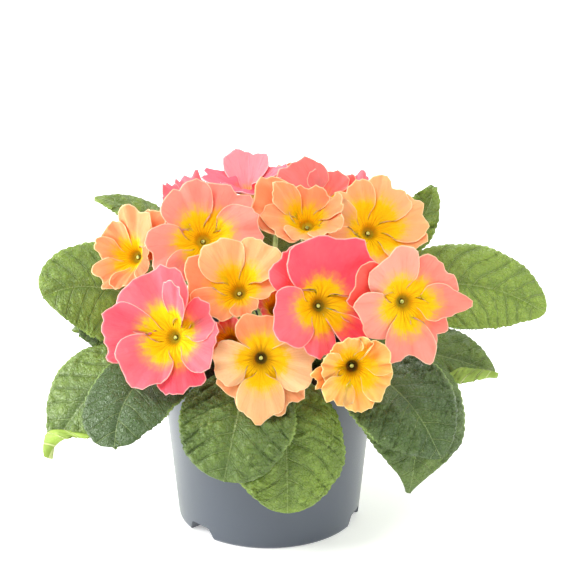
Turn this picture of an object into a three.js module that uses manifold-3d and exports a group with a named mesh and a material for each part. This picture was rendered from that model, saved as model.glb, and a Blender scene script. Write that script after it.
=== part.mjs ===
// Potted primrose: a rosette of broad leaves and a dome of five-petalled flowers in a tapered pot.
// Millimetres, +Z up. The origin is the middle of the pot's flat base, and -Y is the front.

import * as THREE from 'three';
import { mergeVertices } from 'three/addons/utils/BufferGeometryUtils.js';
import Module from 'manifold-3d';

const wasm = await Module();
wasm.setup();

// ---- Driving dimensions ----

const GAP = 0.3; // clearance between two pieces that touch
const MERGE = 0.001; // corners closer than this are one corner

const POT = {
  height: 85, rimRadius: 52.5, baseRadius: 44, wall: 1.3, floor: 2,
  lipHeight: 7, lipDepth: 1.6, lipRounding: 0.6, baseBevel: 1, sides: 72,
};
const NOTCH = {
  azimuths: [-48, 72, 192], width: 18, height: 6, slant: 3.5, rounding: 1, depth: 11, curve: 3,
};
const DRAIN = { count: 6, radius: 4, ring: 22, sides: 12 };
const SOIL = { top: 77, crest: 1.2, level: 0.8 }; // level is the share of its radius that is flat
const CROWN = { radius: 16, shoulder: 88, top: 92.5, sides: 24 };

const LEAF = {
  across: 4, along: 10, stalkWidth: 5, stalkThickness: 2.4, bladeThickness: 1,
  bladeStart: 0.28, skew: 1.2, tipWidth: 2, turn: [0.1, 0.6],
};
const TIER = { low: 80.5, high: 86.5 };

const STEM = { sides: 6, steps: 7, radius: 1.25, seat: 0.6, rise: 0.42, lean: 0.3, arrive: 0.34 };
const ROOT = { inner: 3, outer: 12.5, farthest: 72 };
const CALYX = { height: 9, wall: 0.7, floor: 0.01 };
const TUBE = { length: 14, radius: 1.7, mouth: 2.6, pit: 2 };
const LIMB = { sides: 20, thickness: 1, nominal: 20, spread: 36, notch: 0.24 };

// Leaves, in order round the crown. azimuth is where the stalk leaves it, in degrees from the front
// towards +X. bend and tip are the midrib's last three Bezier points, face is the way that the
// blade's upper side looks, and droop is how far the margins hang below the midrib.
const LEAVES = [
  {
    azimuth: -93, tier: 'high', width: 50, droop: 0.1, blunt: 0.5,
    bend: [[-44, 2, 103.5], [-82, 4, 128]], tip: [-107.5, -5, 114.5], face: [-0.15, -0.75, 0.65],
  },
  {
    azimuth: -124, tier: 'high', width: 28, droop: 0.2, blunt: 0.8,
    bend: [[-32, 38, 112], [-57, 54, 144]], tip: [-86, 51, 145], face: [0, -0.2, 1],
  },
  {
    azimuth: -82, tier: 'low', width: 26, droop: 0.1, blunt: 0.6,
    bend: [[-40, -1, 94], [-70, -2, 93]], tip: [-90, -10, 98], face: [0, -0.4, 1],
  },
  {
    azimuth: -64, tier: 'low', width: 51, droop: 0.1, blunt: 1.2,
    bend: [[-44, -26, 98], [-79, -40, 103]], tip: [-103, -50, 51.5], face: [-0.4, -0.6, 0.7],
  },
  {
    azimuth: -42, tier: 'high', width: 45, droop: 0.15, blunt: 0.42,
    bend: [[-36, -37, 98], [-69.8, -58.2, 106]], tip: [-69.8, -81.3, 71], face: [-0.3, -0.6, 0.8],
  },
  {
    azimuth: -16, tier: 'high', width: 54, droop: 0.12, blunt: 0.45,
    bend: [[-8, -46, 100], [-12, -80, 98]], tip: [-20, -90, 58], face: [-0.1, -0.8, 0.6],
  },
  {
    azimuth: 8, tier: 'low', width: 54, droop: 0.05, blunt: 0.55,
    bend: [[5, -46, 96], [9, -74, 96]], tip: [9, -78, 36], face: [0, -0.9, 0.4],
  },
  {
    azimuth: 42, tier: 'high', width: 54, droop: 0.12, blunt: 0.7,
    bend: [[30, -38, 100], [64, -66, 106]], tip: [79, -78, 64], face: [0.3, -0.6, 0.75],
  },
  {
    azimuth: 60, tier: 'low', width: 58, droop: 0.08, blunt: 1.35,
    bend: [[40, -30, 98], [84, -44, 107]], tip: [65.5, -62, 38.5], face: [0.45, -0.7, 0.5],
  },
  {
    azimuth: 79, tier: 'low', width: 40, droop: 0.1, blunt: 0.8,
    bend: [[44, -8, 94.5], [80, -12, 92]], tip: [108, -16, 80], face: [0.1, -0.5, 0.9],
  },
  {
    azimuth: 97, tier: 'high', width: 44, droop: 0.1, blunt: 0.65,
    bend: [[42, 12, 108], [92, 16, 129.5]], tip: [133.5, 8, 101], face: [0.2, -0.75, 0.6],
  },
  {
    azimuth: 120, tier: 'high', width: 27, droop: -0.2, blunt: 0.5,
    bend: [[38, 32, 110], [79, 44, 127]], tip: [80, 46, 151.5], face: [-0.6, -0.7, 0.3],
  },
  {
    azimuth: 128, tier: 'low', width: 44, droop: 0.15, blunt: 0.6,
    bend: [[38, 30, 92], [78, 52, 96]], tip: [104, 62, 72], face: [0.2, 0.2, 1],
  },
  {
    azimuth: 150, tier: 'high', width: 43, droop: 0.15, blunt: 0.6,
    bend: [[26, 44, 98], [48, 73, 104]], tip: [62, 94, 78], face: [0.1, 0.4, 1],
  },
  {
    azimuth: 176, tier: 'low', width: 44, droop: 0.15, blunt: 0.6,
    bend: [[2, 44, 102], [2, 82, 138]], tip: [0, 104, 106], face: [0, 0.4, 1],
  },
  {
    azimuth: -156, tier: 'high', width: 44, droop: 0.15, blunt: 0.6,
    bend: [[-20, 44, 104], [-42, 74, 110]], tip: [-56, 94, 84], face: [-0.1, 0.4, 1],
  },
  {
    azimuth: -136, tier: 'low', width: 44, droop: 0.15, blunt: 0.6,
    bend: [[-38, 30, 93], [-76, 52, 94]], tip: [-98, 62, 70], face: [-0.2, 0.3, 1],
  },
];

// Flowers. tint is the petals' finish, at is the throat, and faces is the azimuth and elevation of
// the way that the flower looks. cup is the angle between its axis and its petals, and petals lists
// each one's clock angle and length. One that hides low among the others has its own root.
const FLOWERS = [
  {
    tint: 'peach', at: [-3, -67, 109], faces: [0, 18], cup: 78,
    petals: [[2, 21], [100, 24], [148, 26], [180, 28], [218, 24], [262, 21]],
  },
  {
    tint: 'apricot', at: [38, -76, 109], faces: [5, 10], cup: 55,
    petals: [[24, 18], [66, 19.5], [118, 20], [170, 21], [216, 20], [276, 17], [340, 17]],
  },
  {
    tint: 'rose', at: [23, -62, 132.5], faces: [18, 24], cup: 74,
    petals: [[14, 34], [85, 25], [138, 27], [190, 25], [258, 24], [328, 30]],
  },
  {
    tint: 'salmon', at: [61, -58, 133], faces: [18, 14], cup: 74,
    petals: [[55, 25], [98, 28], [138, 25], [182, 29], [252, 24], [298, 27], [336, 24]],
  },
  {
    tint: 'peach', at: [47, -6, 147], faces: [22, 40], cup: 68,
    petals: [[38, 26], [86, 27], [130, 27], [185, 23], [232, 28], [282, 23], [334, 24]],
  },
  {
    tint: 'peach', at: [-13, -48, 133], faces: [-12, 40], cup: 64,
    petals: [[28, 26], [75, 20], [150, 14], [220, 20], [270, 27.5], [326, 25]],
  },
  {
    tint: 'salmon', at: [-30, -28, 151], faces: [0, 36], cup: 74,
    petals: [[33, 28], [76, 26.7], [150, 19], [200, 23], [246, 26.5], [334, 27]],
  },
  {
    tint: 'peach', at: [18.2, -17, 154], faces: [-5, 58], cup: 56,
    petals: [[0, 19], [62, 21], [125, 20], [188, 18], [242, 23], [308, 24]],
  },
  {
    tint: 'peach', at: [-61.5, -10, 136.5], faces: [-38, 22], cup: 58,
    petals: [[10, 26], [42, 28], [86, 22], [160, 19], [212, 21], [256, 19], [306, 19.5]],
  },
  {
    tint: 'rose', at: [-42, -62, 117], faces: [-26, 24], cup: 68,
    petals: [[16, 31], [92, 26], [154, 27], [212, 27], [264, 32], [326, 32]],
  },
  {
    tint: 'pink', at: [-10, 31, 152], faces: [180, 82], cup: 52,
    petals: [[20, 21], [100, 25], [175, 26], [240, 23], [300, 24]],
  },
  {
    tint: 'coral', at: [26.2, 18.5, 151], faces: [15, 60], cup: 60,
    petals: [[20, 17], [76, 19.5], [150, 20], [240, 18], [332, 25]],
  },
  {
    tint: 'pink', at: [43, 35, 146], faces: [0, 60], cup: 62,
    petals: [[0, 15], [72, 12], [144, 12], [216, 12], [288, 12]],
  },
  {
    tint: 'pink', at: [-38.5, 28.5, 149.5], faces: [0, 75], cup: 66,
    petals: [[0, 15], [72, 16], [144, 14], [216, 14], [288, 13]],
  },
  {
    tint: 'salmon', at: [-57.6, -30, 109.5], faces: [-60, 25], cup: 66,
    petals: [[0, 13], [72, 15], [144, 15], [216, 14], [288, 14]],
  },
  {
    tint: 'coral', at: [-17, -38, 105], faces: [-10, 30], cup: 40, root: [-5.5, -13],
    petals: [[0, 15], [72, 15], [144, 15], [216, 15], [288, 15]],
  },
  {
    tint: 'rose', at: [-33, 68, 117.2], faces: [-155, 35], cup: 70,
    petals: [[0, 20.5], [72, 20.5], [144, 20.5], [216, 20.5], [288, 20.5]],
  },
  {
    tint: 'salmon', at: [4, 74, 135], faces: [178, 35], cup: 70,
    petals: [[36, 22], [108, 22], [180, 22], [252, 22], [324, 22]],
  },
  {
    tint: 'peach', at: [44, 70, 118], faces: [155, 35], cup: 70,
    petals: [[0, 21], [72, 21], [144, 21], [216, 21], [288, 21]],
  },
  {
    tint: 'coral', at: [3, -34, 119], faces: [10, 45], cup: 42, root: [2, -6],
    petals: [[0, 15], [72, 13], [144, 13], [216, 13], [288, 13]],
  },
];

// ---- Finishes ----

function finish(colour, roughness) {
  return new THREE.MeshStandardMaterial({ color: colour, roughness, metalness: 0 });
}

const POT_PLASTIC = finish(0x78828c, 0.45);
const PEAT = finish(0x33251a, 0.95);
const CROWN_GREEN = finish(0x8a9a4c, 0.6);
const LEAF_GREEN = finish(0x5f8040, 0.55);
const STEM_GREEN = finish(0xa3ae62, 0.5);
const PETALS = {
  peach: finish(0xfdbd84, 0.6),
  apricot: finish(0xfcb04e, 0.6),
  salmon: finish(0xfd9f84, 0.6),
  coral: finish(0xf8805a, 0.6),
  rose: finish(0xfb6f86, 0.6),
  pink: finish(0xfba0a8, 0.6),
};

// ---- Helpers ----

const radians = THREE.MathUtils.degToRad;
const UP = new THREE.Vector3(0, 0, 1);

function vector([x, y, z]) {
  return new THREE.Vector3(x, y, z);
}

// A level direction, from its azimuth in degrees: 0 is the front and 90 is +X.
function level(azimuth) {
  return new THREE.Vector3(Math.sin(radians(azimuth)), -Math.cos(radians(azimuth)), 0);
}

// The same surface as one closed body: corners merged, empty faces dropped and faces turned outward.
function closeUp(geometry) {
  geometry.deleteAttribute('normal');
  geometry.deleteAttribute('uv');
  const merged = mergeVertices(geometry, MERGE);
  const place = merged.attributes.position;
  const faces = merged.index.array;
  const kept = [];
  let volume = 0;
  for (let i = 0; i < faces.length; i += 3) {
    const [a, b, c] = [faces[i], faces[i + 1], faces[i + 2]];
    if (a === b || b === c || c === a) continue;
    kept.push([a, b, c]);
    const [pa, pb, pc] = [a, b, c].map((k) => new THREE.Vector3().fromBufferAttribute(place, k));
    volume += pa.dot(pb.cross(pc));
  }
  merged.setIndex((volume < 0 ? kept.map(([a, b, c]) => [a, c, b]) : kept).flat());
  return merged;
}

function toSolid(geometry) {
  const closed = closeUp(geometry);
  return new wasm.Manifold(new wasm.Mesh({
    numProp: 3,
    vertProperties: Float32Array.from(closed.attributes.position.array),
    triVerts: Uint32Array.from(closed.index.array),
  }));
}

function toGeometry(solid) {
  const { vertProperties, triVerts } = solid.getMesh();
  const geometry = new THREE.BufferGeometry();
  geometry.setAttribute('position', new THREE.BufferAttribute(vertProperties, 3));
  geometry.setIndex(Array.from(triVerts));
  return geometry;
}

// A profile of [radius, height] pairs, turned round +Z.
function lathe(profile, sides) {
  const points = profile.map(([radius, height]) => new THREE.Vector2(radius, height));
  return new THREE.LatheGeometry(points, sides).rotateX(Math.PI / 2);
}

// Moves every vertex of a geometry to the place that move(vertex) gives it.
function reshape(geometry, move) {
  const place = geometry.attributes.position;
  const vertex = new THREE.Vector3();
  for (let i = 0; i < place.count; i += 1) {
    vertex.fromBufferAttribute(place, i);
    const moved = move(vertex);
    place.setXYZ(i, moved.x, moved.y, moved.z);
  }
  return geometry;
}

// ---- Pot and soil ----

// The pot wall's outer radius at a height.
function wallRadius(height) {
  return POT.baseRadius + (POT.rimRadius - POT.baseRadius) * (height / POT.height);
}

// The three drainage notches as solids, grown on every side by the given amount.
function notches(grow) {
  const half = NOTCH.width / 2 + grow;
  const top = NOTCH.height + grow;
  const corner = half - NOTCH.slant;
  const bend = NOTCH.rounding;
  const outline = new THREE.Shape();
  outline.moveTo(-half, -bend);
  outline.lineTo(half, -bend);
  outline.lineTo(half, 0);
  outline.lineTo(corner + bend, top - bend);
  outline.quadraticCurveTo(corner, top, corner - bend, top);
  outline.lineTo(bend - corner, top);
  outline.quadraticCurveTo(-corner, top, -corner - bend, top - bend);
  outline.lineTo(-half, 0);
  const start = POT.baseRadius - NOTCH.depth - grow;
  const length = POT.rimRadius - start;
  const solids = NOTCH.azimuths.map((azimuth) => {
    const run = { depth: length, bevelEnabled: false, curveSegments: NOTCH.curve };
    const wedge = new THREE.ExtrudeGeometry(outline, run);
    wedge.rotateX(Math.PI / 2); // the extrusion now runs towards -Y and the outline's height is +Z
    wedge.translate(0, -start, 0);
    wedge.rotateZ(radians(azimuth));
    return toSolid(wedge);
  });
  return wasm.Manifold.union(solids);
}

function potGeometry() {
  const lipBottom = POT.height - POT.lipHeight;
  const lipRadius = POT.rimRadius + POT.lipDepth;
  const outer = toSolid(lathe([
    [0, 0],
    [POT.baseRadius - POT.baseBevel, 0],
    [wallRadius(POT.baseBevel), POT.baseBevel],
    [wallRadius(lipBottom), lipBottom],
    [lipRadius, lipBottom + POT.lipRounding],
    [lipRadius, POT.height - POT.lipRounding],
    [lipRadius - POT.lipRounding, POT.height],
    [0, POT.height],
  ], POT.sides));
  const above = POT.height + POT.floor; // the cut for the open top runs on past the rim
  const cavity = toSolid(lathe([
    [0, POT.floor],
    [wallRadius(POT.floor) - POT.wall, POT.floor],
    [wallRadius(above) - POT.wall, above],
    [0, above],
  ], POT.sides));
  const drains = Array.from({ length: DRAIN.count }, (_, i) => {
    const hole = new THREE.CylinderGeometry(DRAIN.radius, DRAIN.radius, 3 * POT.floor, DRAIN.sides);
    hole.rotateX(Math.PI / 2);
    const centre = level((360 / DRAIN.count) * i).multiplyScalar(DRAIN.ring);
    return toSolid(hole.translate(centre.x, centre.y, 0));
  });
  const room = cavity.subtract(notches(POT.wall));
  return toGeometry(outer.subtract(notches(0)).subtract(room).subtract(wasm.Manifold.union(drains)));
}

function soilGeometry() {
  const inset = POT.wall + GAP;
  const bottom = POT.floor + GAP;
  const filling = toSolid(lathe([
    [0, bottom],
    [wallRadius(bottom) - inset, bottom],
    [wallRadius(SOIL.top) - inset, SOIL.top - SOIL.crest],
    [wallRadius(SOIL.top) * SOIL.level, SOIL.top],
    [0, SOIL.top],
  ], POT.sides));
  return toGeometry(filling.subtract(notches(POT.wall + GAP)));
}

// ---- Crown ----

function crownHeight(radius) {
  return CROWN.shoulder + (CROWN.top - CROWN.shoulder) * Math.cos((radius / CROWN.radius) * (Math.PI / 2));
}

function crownGeometry() {
  const domeSteps = [0.75, 0.5, 0.25].map((t) => [CROWN.radius * t, crownHeight(CROWN.radius * t)]);
  return lathe([
    [0, SOIL.top + GAP],
    [CROWN.radius, SOIL.top + GAP],
    [CROWN.radius, CROWN.shoulder],
    ...domeSteps,
    [0, CROWN.top],
  ], CROWN.sides);
}

// ---- Leaves ----

// The blade's width, from 0 at the stalk to 1 where it is broadest, at a part of the way along it.
function bladeSwell(along, blunt) {
  if (along <= LEAF.bladeStart) return 0;
  const t = ((along - LEAF.bladeStart) / (1 - LEAF.bladeStart)) ** LEAF.skew;
  return Math.sin(Math.PI * Math.min(t, 1)) ** blunt;
}

// Where the stalk meets the crown: far enough out for its tilted square end to stay clear of it.
function leafStart(leaf) {
  const outward = level(leaf.azimuth);
  const start = outward.clone().multiplyScalar(CROWN.radius).setZ(TIER[leaf.tier]);
  const towards = vector(leaf.bend[0]).sub(start).normalize();
  const sideways = Math.abs(towards.dot(outward.clone().cross(UP)));
  const tilt = (LEAF.stalkThickness * Math.abs(towards.z) + LEAF.stalkWidth * sideways) / 2;
  return start.addScaledVector(outward, GAP + tilt);
}

function leafGeometry(leaf) {
  const corners = [...leaf.bend, leaf.tip].map(vector);
  const midrib = new THREE.CubicBezierCurve3(leafStart(leaf), ...corners);
  const face = vector(leaf.face).normalize();
  const slab = new THREE.BoxGeometry(1, 1, 1, LEAF.across, LEAF.along, 1);
  return reshape(slab, (vertex) => {
    const along = vertex.y + 0.5;
    const swell = bladeSwell(along, leaf.blunt);
    const endWidth = THREE.MathUtils.lerp(LEAF.stalkWidth, LEAF.tipWidth, along);
    const half = (endWidth + (leaf.width - endWidth) * swell) / 2;
    const thick = THREE.MathUtils.lerp(LEAF.stalkThickness, LEAF.bladeThickness, Math.min(along * 2, 1));
    const tangent = midrib.getTangentAt(along);
    const lean = THREE.MathUtils.smoothstep(along, ...LEAF.turn);
    const side = tangent.clone().cross(UP.clone().lerp(face, lean)).normalize();
    const normal = side.clone().cross(tangent);
    const across = vertex.x * 2;
    const lift = vertex.z * thick - leaf.droop * half * across * across;
    return midrib.getPointAt(along).addScaledVector(side, across * half).addScaledVector(normal, lift);
  });
}

// ---- Flowers and their stems ----

function facing([azimuth, elevation]) {
  const flat = Math.cos(radians(elevation));
  return level(azimuth).multiplyScalar(flat).setZ(Math.sin(radians(elevation)));
}

// How far the limb reaches at a clock angle: the longest of the petals that cover it.
function reach(petals, clock) {
  return Math.max(...petals.map(([angle, length]) => {
    const off = THREE.MathUtils.euclideanModulo(clock - angle + 180, 360) - 180;
    return length * (1 - LIMB.notch * (off / LIMB.spread) ** 2);
  }));
}

// One corolla: a closed tube that opens into a lobed, funnel-shaped limb.
function corollaGeometry(flower) {
  const axis = facing(flower.faces);
  const right = UP.clone().cross(axis).normalize();
  const upward = axis.clone().cross(right);
  const run = LIMB.nominal * Math.sin(radians(flower.cup));
  const rise = LIMB.nominal * Math.cos(radians(flower.cup));
  const shell = lathe([
    [0, -TUBE.length],
    [TUBE.radius, -TUBE.length],
    [TUBE.mouth, -TUBE.pit],
    [TUBE.mouth + run * 0.5, rise * 0.5 - LIMB.thickness],
    [TUBE.mouth + run, rise - LIMB.thickness],
    [TUBE.mouth + run, rise],
    [TUBE.mouth + run * 0.5, rise * 0.5],
    [TUBE.mouth, 0],
    [0, -TUBE.pit],
  ], LIMB.sides);
  return reshape(shell, (vertex) => {
    const radius = Math.hypot(vertex.x, vertex.y);
    const clock = THREE.MathUtils.radToDeg(Math.atan2(vertex.x, vertex.y));
    let stretched = radius;
    let height = vertex.z;
    if (radius > TUBE.mouth + MERGE) {
      const share = reach(flower.petals, clock) / LIMB.nominal;
      stretched = TUBE.mouth + (radius - TUBE.mouth) * share;
      height += (share - 1) * (radius - TUBE.mouth) * (rise / run);
    }
    return vector(flower.at)
      .addScaledVector(right, stretched * Math.sin(radians(clock)))
      .addScaledVector(upward, stretched * Math.cos(radians(clock)))
      .addScaledVector(axis, height);
  });
}

// The calyx's inner radius at a height above its floor: its flat sides stay clear of the tube.
function calyxBore(height) {
  const tube = THREE.MathUtils.lerp(TUBE.radius, TUBE.mouth, height / (TUBE.length - TUBE.pit));
  return (tube + GAP) / Math.cos(Math.PI / STEM.sides);
}

// One flower stalk with its calyx: a slim rod from the crown that ends in a cup round the tube.
function stemGeometry(flower) {
  const axis = facing(flower.faces);
  const end = vector(flower.at).addScaledVector(axis, -TUBE.length - GAP);
  const outward = new THREE.Vector3(end.x, end.y, 0);
  const away = outward.length();
  outward.normalize();
  const rootRadius = THREE.MathUtils.lerp(ROOT.inner, ROOT.outer, Math.min(away / ROOT.farthest, 1));
  const root = outward.clone().multiplyScalar(rootRadius);
  if (flower.root) root.set(flower.root[0], flower.root[1], 0);
  root.z = crownHeight(root.length()) + GAP + STEM.seat;
  const span = root.distanceTo(end);
  const rising = root.clone().addScaledVector(outward, span * STEM.lean);
  rising.z += span * STEM.rise;
  const arriving = end.clone().addScaledVector(axis, -span * STEM.arrive);
  const path = new THREE.CubicBezierCurve3(root, rising, arriving, end);
  const frames = path.computeFrenetFrames(STEM.steps, false);
  const rod = Array.from({ length: STEM.steps }, (_, i) => [STEM.radius, i]);
  const last = STEM.steps;
  const socket = calyxBore(0);
  const mouth = calyxBore(CALYX.height);
  const shaft = lathe([
    [0, 0],
    ...rod,
    [socket + CALYX.wall, last],
    [mouth + CALYX.wall, last + CALYX.height],
    [mouth, last + CALYX.height],
    [socket, last + CALYX.floor],
    [0, last + CALYX.floor],
  ], STEM.sides);
  return reshape(shaft, (vertex) => {
    const step = Math.min(Math.round(vertex.z), last);
    const beyond = vertex.z > last ? vertex.z - last : 0;
    return path.getPointAt(step / last)
      .addScaledVector(frames.normals[step], vertex.x)
      .addScaledVector(frames.binormals[step], vertex.y)
      .addScaledVector(axis, beyond);
  });
}

// ---- Assembly ----

const primrose = new THREE.Group();

function addPiece(name, geometry, material) {
  const mesh = new THREE.Mesh(closeUp(geometry), material);
  mesh.name = name;
  primrose.add(mesh);
}

function numbered(stem, index) {
  return `${stem}_${String(index + 1).padStart(2, '0')}`;
}

addPiece('pot', potGeometry(), POT_PLASTIC);
addPiece('soil', soilGeometry(), PEAT);
addPiece('crown', crownGeometry(), CROWN_GREEN);
LEAVES.forEach((leaf, i) => addPiece(numbered('leaf', i), leafGeometry(leaf), LEAF_GREEN));
FLOWERS.forEach((flower, i) => {
  addPiece(numbered('stem', i), stemGeometry(flower), STEM_GREEN);
  addPiece(numbered('flower', i), corollaGeometry(flower), PETALS[flower.tint]);
});

export default primrose;
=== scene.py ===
# %% [markdown]
# # A potted primrose
# A garden primrose in its nursery pot: a rosette of wrinkled leaves, and over it a dome of wide
# flowers whose petals run from apricot to rose around a yellow heart. Every piece here stands for
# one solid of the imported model, so each one is built from the same few numbers as that solid and
# then given the detail that the solid leaves out: veins, puckers, ruffled edges and thin walls.

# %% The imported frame
import math
import random
from functools import partial

import bmesh
import bpy
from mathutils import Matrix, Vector, noise


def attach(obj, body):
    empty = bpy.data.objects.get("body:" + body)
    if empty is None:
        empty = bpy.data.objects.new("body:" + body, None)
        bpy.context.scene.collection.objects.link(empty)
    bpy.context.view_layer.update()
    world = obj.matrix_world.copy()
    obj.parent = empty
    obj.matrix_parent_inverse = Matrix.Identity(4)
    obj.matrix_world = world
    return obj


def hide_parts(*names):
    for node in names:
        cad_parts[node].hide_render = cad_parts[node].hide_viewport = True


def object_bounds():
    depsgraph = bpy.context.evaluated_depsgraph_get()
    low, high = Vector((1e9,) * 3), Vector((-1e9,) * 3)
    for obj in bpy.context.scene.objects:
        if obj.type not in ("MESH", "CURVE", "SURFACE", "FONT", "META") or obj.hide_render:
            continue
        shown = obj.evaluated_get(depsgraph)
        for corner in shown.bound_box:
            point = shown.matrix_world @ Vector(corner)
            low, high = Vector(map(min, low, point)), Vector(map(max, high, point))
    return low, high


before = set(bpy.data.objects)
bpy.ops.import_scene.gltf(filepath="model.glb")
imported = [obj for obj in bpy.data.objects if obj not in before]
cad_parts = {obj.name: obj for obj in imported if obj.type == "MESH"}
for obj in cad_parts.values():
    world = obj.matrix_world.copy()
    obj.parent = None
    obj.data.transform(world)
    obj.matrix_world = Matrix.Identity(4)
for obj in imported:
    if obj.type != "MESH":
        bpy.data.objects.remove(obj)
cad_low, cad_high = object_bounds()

MM = 0.001  # one millimetre, in the metres that Blender works in
UP = Vector((0.0, 0.0, 1.0))
NOISE_SEED = 7  # without one, the offsets of the vector noise follow the clock
noise.seed_set(NOISE_SEED)
size_mm = [round((high - low) / MM) for low, high in zip(cad_low, cad_high)]
print(f"frame: {len(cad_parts)} solids in a box of {size_mm} mm")

# %% [markdown]
# ## Camera
# A long lens from more than a metre away keeps the round pot from bulging, and a camera that looks
# about 20 degrees down shows the flowers' faces and the front of the pot at once. The object stays
# at the origin, so the camera is the only thing that is aimed.

# %% Camera
CAMERA_PLACE = Vector((8.35, -1120.6, 553.8)) * MM
CAMERA_PITCH = math.radians(21.25)  # below the horizon
CAMERA_LENS = 158.5  # mm
CAMERA_SENSOR = 36.0  # mm across

camera_data = bpy.data.cameras.new("camera")
camera_data.lens = CAMERA_LENS
camera_data.sensor_width = CAMERA_SENSOR
camera = bpy.data.objects.new("camera", camera_data)
camera.location = CAMERA_PLACE
camera.rotation_euler = (math.pi / 2 - CAMERA_PITCH, 0.0, 0.0)
bpy.context.scene.collection.objects.link(camera)
bpy.context.scene.camera = camera
print(f"camera: {CAMERA_PLACE.length:.2f} m from the pot, lens {CAMERA_LENS} mm")

# %% [markdown]
# ## Studio
# Flowers look best in a bright, soft studio: an even white surround that fills the shadows, and
# large lamps, since a large lamp has soft-edged shadows. The main lamp stands high at the front
# left, a low one lights the left side, a weak one fills the right, and one behind shines through
# the thin petals. The view transform is Standard, so that white stays white.

# %% Studio light
SURROUND = 0.62  # strength of the even white light from all around
LAMPS = {  # name: (place in metres, width in metres, power in watts)
    "key_lamp": ((-0.55, -0.80, 1.20), 0.60, 14.2),
    "fill_lamp": ((1.15, -0.35, 0.55), 0.90, 8.1),
    "back_lamp": ((0.25, 0.80, 0.95), 0.70, 7.0),
    "side_lamp": ((-1.15, 0.05, 0.35), 0.80, 21.5),
}
LAMP_TARGET = Vector((0.0, 0.0, 0.10))
WHITE = (1.0, 1.0, 1.0, 1.0)

bpy.context.scene.view_settings.view_transform = "Standard"
world = bpy.data.worlds.new("surround")
world.use_nodes = True
background = world.node_tree.nodes["Background"]
background.inputs["Color"].default_value = WHITE
background.inputs["Strength"].default_value = SURROUND
bpy.context.scene.world = world

for lamp_name, (place, width, power) in LAMPS.items():
    lamp_data = bpy.data.lights.new(lamp_name, "AREA")
    lamp_data.size = width
    lamp_data.energy = power
    lamp = bpy.data.objects.new(lamp_name, lamp_data)
    lamp.location = place
    lamp.rotation_euler = (LAMP_TARGET - lamp.location).to_track_quat("-Z", "Y").to_euler()
    bpy.context.scene.collection.objects.link(lamp)
print(f"studio: {len(LAMPS)} lamps, surround {SURROUND}")


# %% [markdown]
# ## Helpers for materials
# A material is a small graph of nodes. Writing each node with its inputs on one line keeps a graph
# readable, so add_node makes a node, sets its options, and joins or fills its inputs. The others
# are short names for the nodes that are used most.

# %% Node helpers
def add_node(tree, kind, inputs=None, **options):
    node = tree.nodes.new(kind)
    for name, value in options.items():
        setattr(node, name, value)
    for name, value in (inputs or {}).items():
        if isinstance(value, bpy.types.NodeSocket):
            tree.links.new(value, node.inputs[name])
        else:
            node.inputs[name].default_value = value
    return node


def math_node(tree, operation, *values):
    """One Math node on sockets or plain numbers. Gives its output socket."""
    inputs = dict(enumerate(values))
    return add_node(tree, "ShaderNodeMath", inputs, operation=operation).outputs[0]


def ramp_between(tree, value, low, high, to_low=0.0, to_high=1.0):
    """Runs smoothly from to_low, where value is low, to to_high, where it is high."""
    inputs = {"Value": value, "From Min": low, "From Max": high, "To Min": to_low, "To Max": to_high}
    node = add_node(tree, "ShaderNodeMapRange", inputs, interpolation_type="SMOOTHSTEP")
    return node.outputs["Result"]


def mix_colours(tree, share, first, second):
    """The first colour where share is 0, and the second where it is 1."""
    node = add_node(tree, "ShaderNodeMix", data_type="RGBA")
    # A Mix node has sockets for every kind of data: 0 is the share, 6 and 7 are the two colours.
    for index, value in ((0, share), (6, first), (7, second)):
        if isinstance(value, bpy.types.NodeSocket):
            tree.links.new(value, node.inputs[index])
        else:
            node.inputs[index].default_value = value
    return node.outputs[2]


def attribute(tree, name):
    """A number that the mesh holds at each of its corners."""
    return add_node(tree, "ShaderNodeAttribute", attribute_name=name).outputs["Fac"]


def noise_value(tree, vector, scale, detail):
    """Noise from 0 to 1. scale is how many patches fit in one unit of the vector."""
    inputs = {"Vector": vector, "Scale": scale, "Detail": detail}
    return add_node(tree, "ShaderNodeTexNoise", inputs).outputs["Fac"]


def new_group(name, inputs, outputs):
    """An empty node group. Gives it with its input node and its output node."""
    kinds = {"value": "NodeSocketFloat", "colour": "NodeSocketColor", "vector": "NodeSocketVector"}
    group = bpy.data.node_groups.new(name, "ShaderNodeTree")
    for socket, kind in inputs.items():
        group.interface.new_socket(socket, in_out="INPUT", socket_type=kinds[kind])
    for socket, kind in outputs.items():
        group.interface.new_socket(socket, in_out="OUTPUT", socket_type=kinds[kind])
    return group, group.nodes.new("NodeGroupInput"), group.nodes.new("NodeGroupOutput")


def place_group(tree, group, inputs):
    """One use of a node group, with its inputs joined or filled."""
    return add_node(tree, "ShaderNodeGroup", inputs, node_tree=group)


def rgb(red, green, blue):
    """A colour given as 0 to 255 on a screen, turned into the linear light that nodes use."""
    def to_linear(channel):
        share = channel / 255
        return share / 12.92 if share <= 0.04045 else ((share + 0.055) / 1.055) ** 2.4
    return (to_linear(red), to_linear(green), to_linear(blue), 1.0)


def new_material(name, **shader_values):
    """A material with constants on its own Principled shader. Gives it, its tree and the shader."""
    material = bpy.data.materials.new(name)
    material.use_nodes = True
    shader = material.node_tree.nodes["Principled BSDF"]
    for socket, value in shader_values.items():
        shader.inputs[socket.replace("_", " ")].default_value = value
    return material, material.node_tree, shader


def object_place(tree):
    return add_node(tree, "ShaderNodeTexCoord").outputs["Object"]


def bump_from(tree, height, distance):
    """A normal that shows a height of 1 as a bump of distance metres."""
    inputs = {"Height": height, "Distance": distance, "Strength": 1.0}
    return add_node(tree, "ShaderNodeBump", inputs).outputs["Normal"]


def feed(node, **sockets):
    """Joins sockets to a node's inputs. In a name, _ stands for a space."""
    for name, socket in sockets.items():
        node.id_data.links.new(socket, node.inputs[name.replace("_", " ")])


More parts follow.
